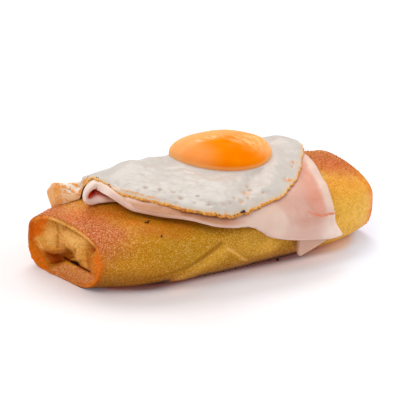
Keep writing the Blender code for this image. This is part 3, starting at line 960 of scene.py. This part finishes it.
def burnt_specks(name, places, sizes):
    """Uneven black crumbs at given places, as one piece."""
    material, bench, place = start_finish(name)
    tone = bench.fade(bench.noise(place, 0.5 * MM), 0.4, 0.6)
    dress(bench, bench.blend(tone, CHAR_BLACK, CHAR_BROWN), rough=0.6, shine=0.5)
    mesh = bmesh.new()
    for number, (centre, radius) in enumerate(zip(places, sizes)):
        ball = bmesh.ops.create_icosphere(mesh, subdivisions=2, radius=radius * MM)["verts"]
        for vertex in ball:
            bump = 1 + 0.25 * math.sin(vertex.co.x * 9000 + number) * math.cos(vertex.co.z * 7000)
            vertex.co = vertex.co * bump + Vector(centre)
            vertex.co.z = max(vertex.co.z, 0)
    piece = finish_mesh(mesh, bpy.data.meshes.new(name), material)
    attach(piece, "root")


speck_x, speck_s, speck_size = np.array(CRUST_SPECKS).T
crust_places = [*drape(speck_x * MM, speck_s * MM, SPECK_LIFT), np.array(FOOT_SPECK) * MM]
burnt_specks("crust_specks", crust_places, [*speck_size, FOOT_SPECK_SIZE])

# %% [markdown]
# ## The ham's finish
# Boiled ham is pale pink and moist. Light goes into it and comes out softened, which subsurface
# scattering gives. Towards its cut edge the pink fades into a whitish rim of fat, and a few red lines
# mark where the muscles meet.

# %% Ham material
HAM_PINK = paint(210, 164, 147)
HAM_BLUSH = paint(216, 140, 114)
HAM_FAT = paint(227, 199, 183)
HAM_TAN_AND_SHADE = paint(190, 130, 88)
HAM_WHITE = paint(255, 240, 230)
HAM_GLOW_RED = paint(255, 92, 0)
HAM_LINE = paint(222, 128, 92)


def ham_material():
    material, bench, place = start_finish("boiled_ham")
    soft = bench.fade(bench.noise(place, 7 * MM, 3), 0.35, 0.65)
    fibre = bench.noise(place, 0.7 * MM, 3)
    tints = ("fat", "blush", "tan", "inner", "crease", "turned")
    fat, blush, tan, inner, crease, turned = map(bench.number, tints)
    colour = bench.layered(HAM_PINK, [
        (blush * 0.68 + soft * 0.14, HAM_BLUSH),
        (fat * (0.75 + soft * 0.25), HAM_FAT),
        # tan along the front edge, partly the egg's painted shadow
        (tan * (0.8 + soft * 0.2), HAM_TAN_AND_SHADE),
        (bench.fade(fibre, 0.55, 0.75) * 0.3, HAM_FAT),
        (bench.fade(crease + fibre * 0.2, 0.92, 1.04), HAM_LINE),
        # painted light on the turn of the loop, and whiter fat low at the right
        (turned, HAM_WHITE),
        # a painted glow: red inside the loop, for light that comes through the ham
        (inner, HAM_GLOW_RED)])
    dress(bench, colour, rough=0.5 - soft * 0.1, shine=0.3, coat=(soft * 0.15 + 0.1, 0.25),
          scatter=(0.3, (1.0, 0.45, 0.3), 1.8), Normal=bench.bump(0.35, 0.15 * MM, fibre))
    return material


ham_finish = ham_material()

# %% [markdown]
# ## The folded slice of ham
# The slice starts under the egg at the right, runs left along the roll, turns over in a loose loop and
# comes back on top. One sheet with two coordinates does all of that: u along the slice and v from its
# front edge to its back edge. Its two faces stand off the middle by half the thickness, which runs out
# in a round edge all the way round.

# %% Ham sheet
HAM_THICKNESS = 2.1 * MM
GAP = 0.35 * MM
LOOP_RISE = 5.6 * MM
LOOP_X = -54.5 * MM
LOOP_LEAN = -0.55
LOOP_BULGE = 1.25
LOOP_FRONT = 1.8 * MM
HEM_LEAN = 0.32
HEM_DROOP = 1.0 * MM
LAYER_STEP = 4 * MM
SAG_FROM = 26 * MM
SAG_OVER = 14 * MM
TURN_FROM = 0.40
TURN_TO = 0.56
HAM_EDGE = 2.2 * MM
HOLLOW_FILL = 1.5 * MM
HAM_ALONG = 360
HAM_ACROSS = 136
HEM_CROWDING = 0.02


def ham_sag(x, s):
    """How far the ham stands off the roll's side, in soft ripples, where it hangs down."""
    ripple = 1.3 + 0.3 * np.sin(x / (6.5 * MM) + 1)
    return ripple * ease((s - SAG_FROM) / SAG_OVER) * MM


def ham_lift(x, s):
    """The height of the upper layer's middle over the roll: it rises into the loop at the fold."""
    flat = 2 * GAP + 1.5 * HAM_THICKNESS + ham_sag(x, s)
    return flat + LOOP_RISE * before(x, -46, 8) * past(s, -12, 10)


def upper_front(x):
    edge = [(-55, 1), (-52, 10), (-47, 19.6), (-40, 28), (-31, 35), (-23, 40), (-15, 42),
            (-5, 43.2), (4, 47), (16, 50.6), (26, 52.4), (34, 53.4), (44, 52)]
    return through(edge, x / MM) * MM


def lower_front(x):
    edge = [(-55, 1), (-47, 6), (-38, 15), (-20, 27), (0, 35), (12, 39), (17.5, 43), (20, 49),
            (22, 57), (24, 59), (27, 58.4), (36, 55), (44, 51), (54, 44)]
    return through(edge, x / MM) * MM


def ham_back(x):
    edge = [(-58, -10), (-50, -13), (-42, -16), (-30, -20), (-10, -22), (15, -24), (32, -18),
            (52, -12)]
    return through(edge, x / MM) * MM


def upper_right(v):
    return through([(0, 41), (0.12, 36.2), (0.3, 40), (0.6, 47), (0.8, 48.5), (1, 46)], v) * MM


def ham_sheet(u, v):
    """The slice's middle surface, and where each of its points lies on the roll."""
    turning = np.clip((u - TURN_FROM) / (TURN_TO - TURN_FROM), 0, 1)
    crowded = [(0, 0), (0.3, 0.6), (0.45, 0.75), (0.85, 0.87), (1, 1)]
    under = through(crowded, 1 - np.clip(u / TURN_FROM, 0, 1))
    over = np.clip((u - TURN_TO) / (1 - TURN_TO), 0, 1)
    reach = np.where(turning > 0, over ** 1.4, under)
    reach = reach * (upper_right(v) - np.where(turning > 0, 0, LAYER_STEP) - LOOP_X)
    angle = math.pi * turning
    x = LOOP_X + reach
    front = np.where(turning > 0, upper_front(x), lower_front(x))
    front = LOOP_FRONT + (front - LOOP_FRONT) * past(reach, 0, 2)
    s = front + (ham_back(x) - front) * v
    lean = LOOP_LEAN * np.minimum(s - LOOP_FRONT, 0) * (1 - past(reach, 0, 30))
    lean = lean - np.where(turning > 0, 0, HEM_LEAN * np.maximum(s - 44 * MM, 0))
    low = GAP + HAM_THICKNESS / 2 + ham_sag(x + lean, s)
    droop = HEM_DROOP * before(upper_front(x) - s, 7, 7) * before(x, 8, 15)
    high = ham_lift(x + lean, s) - droop * past(x - LOOP_X, 0, 7)
    lift = np.where(turning >= 1, high, low + (high - low) * (1 - np.cos(angle)) / 2)
    place = drape(x + lean - (high - low) / 2 * np.sin(angle) * LOOP_BULGE, s, lift)
    return place, x, s, turning


print("ham, front edge at the middle:", round(float(upper_front(0.0)) / MM, 1), "mm from the crown")

# %% [markdown]
# ## Fat, pink and the inside of the loop
# The ham is fattier towards its rim and below a line that runs from the egg down to the crease. Along
# its front edge on the left it is tanned and carries the egg's painted shadow, and where it turns over
# it is painted nearly white, for the light on the loop. A blush and a pale line cross its right side,
# and only the face inside the loop is painted a glowing red, for light that comes through the ham.

# %% Numbers for the ham


def ham_tints(x, s, turning, rim):
    over = turning >= 1
    below = s - through([(-60, 30), (-30, 34), (0, 36), (7.5, 37.5), (10, 42), (15, 44.5), (20, 45.3),
                         (28, 44.8), (36, 44.2), (50, 44)], x / MM) * MM
    strip = 1.2 * before(rim, 6.5, 4) * past(x, 26, 8)
    pale = line(x, s, [(41, 22), (39.5, 30), (37.5, 36.5), (35.5, 43)], 3.5)
    fat = past(below, -0.75, 1.5) * 0.35 + strip + ease(pale * 1.4)
    fat += 0.6 * before(x, -28, 20) + 1.1 * spot(x, s, (1.5, 42.5), (10, 4.5), 0.1)
    fat += 0.6 * spot(x, s, (35.5, 46.5), (6, 5))
    fat += 0.6 * before(rim, 1.6, 1) * past(s, 20, 8)
    fat = np.where(over, fat, 0.6)
    blush = line(x, s, [(39.5, 12), (37, 20), (33, 29), (31, 35), (29, 41)], 7) ** 0.7
    blush = (blush + 0.4 * spot(x, s, (30, 39.5), (5, 3.5), 0.5)) * (1 - ease(pale * 1.4))
    blush = blush * over * before(s, 44.3, 1.2)
    # Tan along the front edge under the egg, partly the egg's shadow painted in; the layer below gets an
    # even share.
    front = past(s - upper_front(x), -9, 5) * past(x, -52, 10)
    tan = np.where(over, 0.85 * front * before(x, -6, 12), 0.45)
    tan += 0.35 * front * over * before(x, -30, 10)
    tan = tan - 0.6 * before(rim, 1.4, 1) * over
    # Painted glow: red on the face inside the loop, for light that comes through the ham.
    inner = before(x - LOOP_X, 7, 5) * past(rim, 1.0, 1.2)
    inner = inner * ease((turning - 0.12) / 0.3)
    # Painted light: the turn of the loop is made nearly white; low at the right lies a whiter strip of fat.
    turned = 0.75 * before(x, -49, 4) * (1 - 0.6 * past(s, 7, 6) * over)
    turned += 0.4 * spot(x, s, (36, 49.5), (8, 4)) * over
    crease = line(x, s, [(21.5, 42.2), (23, 43), (28, 43.6), (31, 43.6), (35.5, 43.4)], 2)
    crease = np.maximum(crease, line(x, s, [(18.5, 43.8), (22.2, 44.3)], 2) - 0.06) * over
    return kept(fat=fat, blush=blush, tan=tan, inner=inner, crease=crease, turned=turned)


# %% [markdown]
# ## Thickness for the ham
# The two faces stand off the sheet along its normals. The hollow of the loop is partly filled from the
# inside, which leaves the narrow dark slot that a fold has.

# %% Ham mesh


def edge_profile(away, radius):
    """The share of the full thickness at a distance from a rounded edge."""
    t = np.clip(away / radius, 0, 1)
    return np.sqrt(np.clip(1 - (1 - t) ** 2, 0, 1))


def make_ham():
    u = np.linspace(0, 1, HAM_ALONG)[:, None]
    v = np.linspace(0, 1, HAM_ACROSS)[None]
    v = v - HEM_CROWDING * np.sin(2 * math.pi * v)
    u, v = np.broadcast_arrays(u, v)
    place, x, s, turning = ham_sheet(u, v)
    normal = np.cross(np.gradient(place, axis=0), np.gradient(place, axis=1))
    normal /= np.maximum(np.linalg.norm(normal, axis=-1, keepdims=True), 1e-12)
    from_front, from_start = walked(place, 1), walked(place, 0)
    from_back, from_end = from_front[:, -1:] - from_front, from_start[-1:] - from_start
    rim = np.minimum(np.minimum(from_front, from_back), np.minimum(from_start, from_end))
    full = edge_profile(rim, HAM_EDGE)[..., None]
    ripple = 0.22 * uneven(x, s, 4.5, 3) + 0.1 * uneven(x, s, 1.8, 4)
    ripple = ripple[..., None] * MM * full * (turning >= 1)[..., None]
    hollow = HOLLOW_FILL * before(x - LOOP_X, 8, 8) * (1 - 0.8 * np.sin(math.pi * turning))
    top = place + normal * (HAM_THICKNESS / 2 * full + ripple)
    bottom = place - normal * (HAM_THICKNESS / 2 + hollow[..., None]) * full
    rows = np.hstack([top, bottom[:, -2:0:-1]])
    tints = {name: np.hstack([value, value[:, -2:0:-1]])
             for name, value in ham_tints(x, s, turning, rim).items()}
    # The painted glow is kept to the face inside the loop.
    hidden = np.arange(2 * HAM_ACROSS - 2) >= HAM_ACROSS
    tints["inner"] = tints["inner"] * hidden
    return skin("ham_slice", rows, tints, ham_finish)


ham = make_ham()
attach(ham, "root")
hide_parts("ham")

# %% [markdown]
# ## The finish of the egg white
# Set egg white is a warm white that lets light in. Along its rim it fried to a thin brown lace, and the
# froth there left pits and small brown spots. The distance from the rim is kept on the points, so the
# browning follows the outline wherever it wanders.

# %% Egg white material
WHITE = paint(204, 197, 190)
WHITE_SHADE = paint(192, 178, 168)
LOBE_GLOW_WHITE = paint(255, 243, 228)
RIM_GOLD = paint(240, 186, 96)
RIM_ORANGE = paint(230, 150, 40)
RIM_BROWN = paint(166, 84, 12)
LOBE_TAN = paint(240, 154, 44)


def white_material():
    material, bench, place = start_finish("set_egg_white")
    soft = bench.fade(bench.noise(place, 6 * MM, 3), 0.4, 0.7)
    fine = bench.noise(place, 1.1 * MM, 3)
    edge, tan, lobe, froth, net = map(bench.number, ("edge", "tan", "lobe", "froth", "net"))
    browned = bench.fade(edge + (fine - 0.5) * (0.4 + froth * 1.8), 0.64 + froth * 0.3, 0.28 + froth * 0.2)
    lace = bench.layered(RIM_GOLD, [
        (bench.fade(bench.noise(place, 3.5 * MM, 2), 0.35, 0.65), RIM_ORANGE),
        (bench.fade(fine + froth * 0.22, 0.66, 0.8) * 0.7, RIM_BROWN)])
    strand = bench.cells(place + (fine - 0.5) * 2 * MM, 2.4 * MM, feature="DISTANCE_TO_EDGE")
    netted = bench.fade(strand, 0.13, 0.04) + bench.fade(net + fine * 0.4, 0.75, 1.0)
    colour = bench.layered(WHITE, [
        (soft * 0.35, WHITE_SHADE),
        # painted light: the lobe is nearly white, for light that glows through it from behind
        (lobe, LOBE_GLOW_WHITE),
        (bench.fade(edge, 2.4, 0.7) * 0.25, RIM_GOLD),
        (tan * bench.fade(fine, 0.3, 0.6), RIM_ORANGE),
        (lobe * netted.within() * 0.9, LOBE_TAN),
        (browned * (1 - lobe * 0.5), lace)])
    pit = bench.fade(bench.cells(place, 2.2 * MM), 0.22, 0.12) * bench.fade(edge, 9.0, 4.0)
    dress(bench, colour, rough=0.42 + browned * 0.15, shine=0.3, coat=(0.2 - browned * 0.1, 0.2),
          scatter=(0.25, (1.0, 0.75, 0.55), 1.2), Normal=bench.bump(0.6, 0.35 * MM, fine * 0.22 - pit))
    return material


white_finish = white_material()

# %% [markdown]
# ## The fried egg
# The white spreads over the ham in an uneven round, rises in a hump here and there, and throws up a
# thick lobe behind the roll's left end. Its outline is a reach for each direction from its middle.
# Inside that outline an upper and a lower face follow the ham, close together at the rim and further
# apart inside.

# %% Outline and lifts of the egg
EGG_CENTRE = (2 * MM, -4 * MM)
EGG_THICKNESS = 2.6 * MM
EGG_RIM = 0.8 * MM
EGG_CUT = 0.01
EGG_SLOPE = 8 * MM
EGG_REST = 0.45 * MM
LOBE_HEIGHT = 5.6 * MM
LOBE_CLIMB = 0.34
LOBE_ANGLE = math.radians(190)
EGG_CROWDING = 0.5
EGG_CURL = 0.6 * MM
EGG_HUMPS = ((-31, -9, 8, 2.6), (-43, -6, 6, 0.8), (31, -10, 8, -1.8))
YOLK_CENTRE = (9.8 * MM, -3.5 * MM)
YOLK_RADIUS = 21.7 * MM
YOLK_HEIGHT = 7.2 * MM
YOLK_FLATNESS = 3.3


def egg_outline(angle):
    """The white's reach from its centre, towards each angle from +X round by the front."""
    radii = [(-16, 49), (0, 50), (12, 47), (22, 43.4), (38, 41.3), (52, 41), (64, 41), (75, 42),
             (90, 42.8), (101, 45), (112, 47.2), (122, 48.4), (132, 49), (141, 48.6), (150, 49),
             (160, 50.5), (168, 52), (172, 53.8), (174.4, 56), (178.4, 55.3), (183, 55.2),
             (186.8, 56), (188, 59), (189.2, 63), (191.5, 65.3), (196, 66.5), (201, 66), (208, 59),
             (222, 50),
             (242, 43), (262, 40),
             (285, 40), (305, 42), (325, 46), (344, 49), (360, 50)]
    return through(radii, np.degrees(angle) % 360) * MM


def under_egg(x, s):
    """The lift of the white's lower face: over the ham, and down on the roll where the ham ends."""
    fold = LOOP_X + LOOP_LEAN * np.minimum(s - LOOP_FRONT, 0)
    back = past(s - ham_back(x), -9, 5.5)
    left = past(x - fold, -8.2, 3)
    over_ham = ham_lift(x, s) + HAM_THICKNESS / 2 - GAP / 2
    curl = EGG_CURL * past(x, 37, 8) * before(s, 14, 12)
    curl = curl * past(s, -18, 12)
    return 1.5 * GAP + over_ham * back * left + curl


def over_egg(x, s):
    """The lift of the white's upper face, with its humps and the lobe behind."""
    from_yolk = np.hypot(x - YOLK_CENTRE[0], s - YOLK_CENTRE[1])
    thick = EGG_THICKNESS + 0.7 * MM * before(from_yolk, 26, 5)
    wave = 0.5 * MM * np.sin(x / (9 * MM)) * np.sin(s / (8 * MM) + 1.2)
    wave = wave * past(from_yolk - YOLK_RADIUS, 0, 8)
    top = under_egg(x, s) + thick + wave
    for hump_x, hump_s, reach, height in EGG_HUMPS:
        away = np.hypot(x / MM - hump_x, s / MM - hump_s) / reach
        top += height * MM * np.exp(-away ** 2)
    lobe = (LOBE_HEIGHT + LOBE_CLIMB * (-50 * MM - x)) * before(x, -45, 5)
    lobe = lobe * before(s, -12.5, 2.5)
    return np.maximum(top, lobe)


print("egg, reach to the front:", round(float(egg_outline(math.pi / 2)) / MM, 1), "mm")

# %% [markdown]
# ## Pits, a ridge and a valley
# The white set unevenly. Froth burst into small pits, mostly on the left, and on the right a ridge and a
# valley run round the yolk. The finer lumps are smooth random ground in three sizes.

# %% Relief of the egg
PIT_DEPTH = 0.9 * MM
VALLEY = [(29, 0), (15, 16.5), (6, 25), (-1, 31.5)]
RIDGE = [(34, 4), (22, 20), (9, 32.5)]
PITS = [(-30, 22, 0.9), (-29.5, 26.5, 0.9), (-38, 13.5, 0.7), (-40, 22, 0.6), (-38, 26.5, 0.8),
        (-32.5, 28, 0.7), (-22.5, 28, 0.6), (-21, 34, 0.8), (-16, 36, 0.7), (-13, 36, 0.7), (-9, 34, 0.8),
        (-7, 36, 1.0), (-1.5, 31.5, 1.6), (1.5, 30, 0.7), (2, 27.5, 0.7), (-3, 35, 0.6), (-26, 31, 0.6),
        (-34, 18, 0.6), (5, 34, 0.6), (23, 29, 0.9), (21, 28, 0.8), (33, 18, 0.9), (30, 21, 0.8)]


def pits(x, s):
    """1 in the middle of each pit that the froth left."""
    deepest = np.zeros(np.shape(x))
    for pit_x, pit_s, radius in PITS:
        away = np.hypot(x / MM - pit_x, s / MM - pit_s) / radius
        deepest = np.maximum(deepest, np.exp(-away ** 2))
    return deepest


def egg_relief(x, s):
    """The small unevenness of the white's upper face."""
    off_yolk = past(np.hypot(x - YOLK_CENTRE[0], s - YOLK_CENTRE[1]), YOLK_RADIUS / MM, 3)
    folds = 0.8 * ease(line(x, s, RIDGE, 5)) - 0.7 * ease(line(x, s, VALLEY, 5))
    lumps = 0.55 * uneven(x, s, 8, 5) + 0.3 * uneven(x, s, 3.2, 6) + 0.1 * uneven(x, s, 1.3, 7)
    return (lumps + folds) * off_yolk * MM - PIT_DEPTH * pits(x, s)


# %% [markdown]
# ## How the egg browned
# The lace follows the distance from the rim. A second thin line runs inside it at the left, a golden
# net lies on the lobe, and crumbs stick where the froth was.

# %% Numbers for the egg white


def egg_tints(share, angle, x, s):
    edge = (1 - share) * egg_outline(angle) / MM
    tan = 0.5 * pits(x, s) * past(x, -12, 8) + 0.25 * pits(x, s)
    tan += 0.8 * spot(x, s, (33, 18), (1.6, 1)) + 0.8 * spot(x, s, (22, 29), (2, 1))
    doubled = ease((174 - np.degrees(angle)) / 4) * ease((np.degrees(angle) - 142) / 10)
    tan += 0.9 * doubled * np.exp(-((edge - 1.8) / 0.4) ** 2)
    lobe = before(x, -52, 2) * before(s, -6, 3)
    froth = spot(np.degrees(angle) % 360 * MM, 0, (125, 0), (45, 1)) + spot(x, s, (44, 4), (6, 7))
    net = 0.72 * np.maximum(before(s, -14.8, 0.6), before(x, -62.5, 1.5))
    crumbs = ease((0.7 - edge) / 0.4) * (0.04 + froth * before(x, 30, 8)) * (1 - 0.6 * lobe)
    return {"edge": edge, "tan": tan, "lobe": lobe, "froth": froth, "net": net,
            "crumbs": np.clip(crumbs, 0, 1)}


# %% [markdown]
# ## From the rim to the middle
# A place on the egg is a share of its reach, an angle and a side, upper or lower. Rings are closer
# together towards the rim, and rays towards the lobe, where the shape changes fastest.

# %% Egg white mesh
EGG_AROUND = 520
EGG_UPPER = 150
EGG_LOWER = 34
UPPER_CROWDING = 1.25
LOWER_CROWDING = 1.6


def egg_point(share, angle, upper):
    ragged = 0.35 * uneven(angle, 0, 45, 8) + 0.25 * uneven(angle, 0, 18, 9)
    reach = (egg_outline(angle) + ragged * MM) * share
    x = EGG_CENTRE[0] + reach * np.cos(angle)
    s = EGG_CENTRE[1] + reach * np.sin(angle)
    rest = before((1 - share) * egg_outline(angle), 2.5, 2.5) * before(x, -20, 12)
    low, high = under_egg(x, s) - EGG_REST * rest, over_egg(x, s) + egg_relief(x, s)
    full = np.clip((1 - share) / EGG_CUT, 0, 1) ** 0.5
    behind = before(x, -48, 4) * before(s, -5, 3)
    slope = EGG_SLOPE * (1 - 0.96 * behind)
    climb = 1 - (1 - np.clip((1 - share) * egg_outline(angle) / slope, 0, 1)) ** 2
    high = low + EGG_RIM + np.maximum(high - low - EGG_RIM, 0) * climb
    rim = np.minimum(high, low + EGG_RIM)
    lift = low + (rim - low) / 2 + full * np.where(upper, high - (rim + low) / 2, -(rim - low) / 2)
    return drape(x, s, lift), x, s


def make_egg_white():
    angle = np.arange(EGG_AROUND) / EGG_AROUND * 2 * math.pi
    angle = angle - EGG_CROWDING * np.sin(angle - LOBE_ANGLE)
    upper = 1 - (1 - np.linspace(0, 1, EGG_UPPER)) ** UPPER_CROWDING
    lower = 1 - (1 - np.linspace(1, 0, EGG_LOWER)[1:]) ** LOWER_CROWDING
    share = np.concatenate([upper, lower])[:, None]
    above = np.arange(len(share))[:, None] < EGG_UPPER
    share, angle, above = np.broadcast_arrays(share, angle[None], above)
    rows, x, s = egg_point(share, angle, above)
    return skin("egg_white_set", rows, egg_tints(share, angle, x, s), white_finish)


egg_white = make_egg_white()
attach(egg_white, "root")
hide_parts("egg_white")

# %% [markdown]
# ## Crumbs along the rim
# The scattering tree strews these too, by the number called crumbs. A few burnt ones have places of
# their own: the angle, the share of the reach and the size.

# %% Crumbs along the rim
CHARRED = [(103.4, 0.985, 0.65), (104.8, 0.985, 0.5), (107.3, 0.99, 0.35), (109, 0.99, 0.25),
           (116.5, 0.985, 0.3), (176, 0.985, 0.3), (175, 0.98, 0.25), (171, 0.985, 0.35), (170, 0.99, 0.25)]
CRUMB_GOLD = paint(236, 176, 84)
CRUMB_ORANGE = paint(222, 136, 30)
CRUMB_BROWN = paint(140, 66, 10)


def crumb_material():
    material, bench, place = start_finish("fried_crumbs")
    tone = bench.noise(place, 1.6 * MM, 2)
    colour = bench.layered(CRUMB_GOLD, [
        (bench.fade(tone, 0.3, 0.5), CRUMB_ORANGE),
        (bench.fade(tone, 0.55, 0.66), CRUMB_BROWN)])
    dress(bench, colour, rough=0.5, shine=0.2)
    return material


crumbs = grow(egg_white, scattered, {"Where": "crumbs", "Spacing": 0.5 * MM, "Density": 3e6,
                                     "Smallest": 0.15 * MM, "Largest": 0.34 * MM, "Seed": 7,
                                     "Material": crumb_material()}, "rim_crumbs")
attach(crumbs, "root")

charred_at, charred_share, charred_size = np.array(CHARRED).T
rim_places = egg_point(charred_share, np.radians(charred_at), True)[0]
burnt_specks("rim_specks", rim_places, charred_size)

# %% [markdown]
# ## The yolk
# A soft yolk is a low dome, steep at its foot, under a film of white that is thin enough to see
# through. The film, with a painted sheen, makes its top a milky salmon, and where it is thinnest the
# yolk shows a deep orange. A few glints and the sheen at its back are painted into the veil.

# %% Yolk
YOLK_ORANGE = paint(255, 136, 0)
YOLK_DEEP = paint(252, 116, 0)
YOLK_FILM_AND_SHEEN = paint(255, 170, 102)
YOLK_VEIL_AND_GLINT = paint(255, 198, 136)
YOLK_SINK = 0.8 * MM
YOLK_AROUND = 160
YOLK_RINGS = 90


def yolk_material():
    material, bench, place = start_finish("soft_yolk")
    soft = bench.fade(bench.noise(place, 9 * MM, 3), 0.4, 0.65)
    wrinkle = bench.noise(place, 2.5 * MM, 3)
    foot, film, veil = map(bench.number, ("foot", "film", "veil"))
    stretched = bench.add("ShaderNodeMapping", {
        "Vector": place, "Rotation": (0, 0, 0.5), "Scale": (1, 0.3, 1)})
    streak = bench.noise(stretched, 1.6 * MM, 3)
    colour = bench.layered(YOLK_ORANGE, [
        (soft * 0.5, YOLK_DEEP),
        # the film of white, partly a painted sheen
        (film * (0.8 + wrinkle * 0.4), YOLK_FILM_AND_SHEEN),
        # the veil of white, with painted glints and sheen
        (veil * bench.fade(streak, 0.42, 0.62), YOLK_VEIL_AND_GLINT),
        (foot * 0.4, YOLK_VEIL_AND_GLINT)])
    dress(bench, colour, rough=0.35 + film * 0.15, shine=0, coat=(veil * 0.12, 0.1),
          scatter=(0.2, (1.0, 0.35, 0.02), 2), Normal=bench.bump(0.2, 0.2 * MM, wrinkle))
    return material


yolk_finish = yolk_material()


def make_yolk():
    ring = np.linspace(0, math.pi, YOLK_RINGS)[:, None]
    angle = (np.arange(YOLK_AROUND) / YOLK_AROUND * 2 * math.pi)[None]
    share = np.sin(ring) + 0 * angle
    x = YOLK_CENTRE[0] + YOLK_RADIUS * share * np.cos(angle)
    s = YOLK_CENTRE[1] + YOLK_RADIUS * share * np.sin(angle)
    dome = np.sqrt(np.clip(1 - share ** YOLK_FLATNESS, 0, 1)) * YOLK_HEIGHT
    lift = over_egg(x, s) - YOLK_SINK + np.where(ring < math.pi / 2, dome + GAP + YOLK_SINK, 0)
    # The film of white over the top and back of the dome, partly a painted sheen of the light behind.
    film = before(s, 2, 9) + 0.6 * spot(x, s, (-9, 4), (8, 9))
    film += 0.9 * spot(x, s, (24, 7), (9, 10))
    # Painted glints near the top and a painted sheen at the back; the patch at the lower right is the veil
    # of white.
    veil = 0.8 * spot(x, s, (21, 6), (11, 7), 0.2) + 1.3 * spot(x, s, (3, -3), (7, 2.1))
    veil += 0.5 * before(s, -6, 8)
    foot = ease((share - 0.985) / 0.015)
    return skin("yolk_dome", drape(x, s, lift), kept(film=film, veil=veil, foot=foot), yolk_finish)


yolk = make_yolk()
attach(yolk, "root")
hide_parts("egg_yolk")

# %% [markdown]
# ## The floor
# The roll lies on a bare white surface. Its floor glows a little, so that it comes out nearly white. The
# glow changes from left to right, and the roll's shadow is painted into it: dark and warm close to the
# roll, a warm band around that and a cooler shade on the right.

# %% Floor
FLOOR_SIZE = 4.0
CONTACT = 27 * MM
CONTACT_LEAN = 0.07
CONTACT_STRETCH = 1.3
CONTACT_END = 42 * MM
GLOW = 0.4
# Glow colours; the near, the warm and the right ones paint the roll's shadow
GLOW_CONTACT_SHADOW = (0.2, 0.015, 0.0, 1)
GLOW_WARM_SHADOW = (0.9, 0.61, 0.55, 1)
GLOW_FAR = (0.36, 0.38, 0.46, 1)
GLOW_LEFT = (0.17, 0.15, 0.2, 1)
GLOW_RIGHT_SHADOW = (0.18, 0.4, 0.7, 1)
FLOOR_GREY = (0.86, 0.85, 0.85, 1)
FLOOR_WHITE = (0.88, 0.87, 0.87, 1)


def add_floor():
    material, bench, place = start_finish("pale_floor")
    x, y = (bench.add("ShaderNodeSeparateXYZ", {0: place}, axis) for axis in "XY")
    beyond = (x.math("ABSOLUTE") - CONTACT_END).math("MAXIMUM", 0) * CONTACT_STRETCH
    away = (beyond * beyond + y * y) ** 0.5 - x.math("MAXIMUM", -15 * MM) * CONTACT_LEAN
    # A painted shadow round the roll: a warm band, cooler on the right, and dark and warm at the contact.
    shadow_band = bench.fade(away, CONTACT + 16 * MM, CONTACT + 6 * MM)
    shadow_band = shadow_band * bench.fade(x, -60 * MM, -20 * MM) * bench.fade(x, 62 * MM, 36 * MM)
    glow = bench.layered(GLOW_LEFT, [
        (bench.fade(x, -45 * MM, -5 * MM), GLOW_FAR),
        (shadow_band, GLOW_WARM_SHADOW),
        (bench.fade(x, 22 * MM, 60 * MM), GLOW_RIGHT_SHADOW),
        (bench.fade(away, CONTACT + 6 * MM, CONTACT), GLOW_CONTACT_SHADOW)])
    pale = bench.blend(bench.noise(place, 0.4), FLOOR_GREY, FLOOR_WHITE)
    dress(bench, pale, rough=0.6, shine=0.2, **{"Emission Strength": GLOW, "Emission Color": glow})
    mesh = bmesh.new()
    bmesh.ops.create_grid(mesh, x_segments=4, y_segments=4, size=FLOOR_SIZE / 2)
    return finish_mesh(mesh, bpy.data.meshes.new("floor"), material)


add_floor()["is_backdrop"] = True

# %% [markdown]
# ## Three lamps and a bright room
# A broad lamp stands above and behind the roll, one at its right and one in front on the left. Their
# size makes soft highlights, and the even light of the room keeps the shadows pale.

# %% Lamps
LAMP_AIM = Vector((0, 0, 20 * MM))
ROOM_COLOUR = (1, 0.975, 0.96, 1)
ROOM_STRENGTH = 0.56


def add_lamp(name, place, size, power, colour):
    lamp = bpy.data.lights.new(name, "AREA")
    lamp.shape = "DISK"
    lamp.size = size
    lamp.energy = power
    lamp.color = colour
    holder = put(name, lamp)
    holder.location = place
    toward = LAMP_AIM - Vector(place)
    holder.rotation_euler = toward.to_track_quat("-Z", "Y").to_euler()


add_lamp("key", (0.25, 0.7, 1.1), 1.1, 9, (1.0, 0.98, 0.95))
add_lamp("side", (1.0, -0.5, 0.6), 0.8, 4, (1.0, 0.98, 0.95))
add_lamp("left", (-0.8, -0.3, 1.05), 0.7, 4.4, (1.0, 0.98, 0.96))

world = bpy.data.worlds.new("bright_room")
bpy.context.scene.world = world
world.use_nodes = True
world.node_tree.nodes["Background"].inputs["Color"].default_value = ROOM_COLOUR
world.node_tree.nodes["Background"].inputs["Strength"].default_value = ROOM_STRENGTH
bpy.context.scene.view_settings.view_transform = "Standard"

# %% [markdown]
# ## Sizes
# The last cell prints how large the solids and the dressed pieces are, side by side.

# %% Sizes
new_low, new_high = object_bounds()
for axis, letter in enumerate("xyz"):
    ends = (cad_low[axis], new_low[axis], cad_high[axis], new_high[axis])
    print(letter, [round(v / MM, 1) for v in ends])
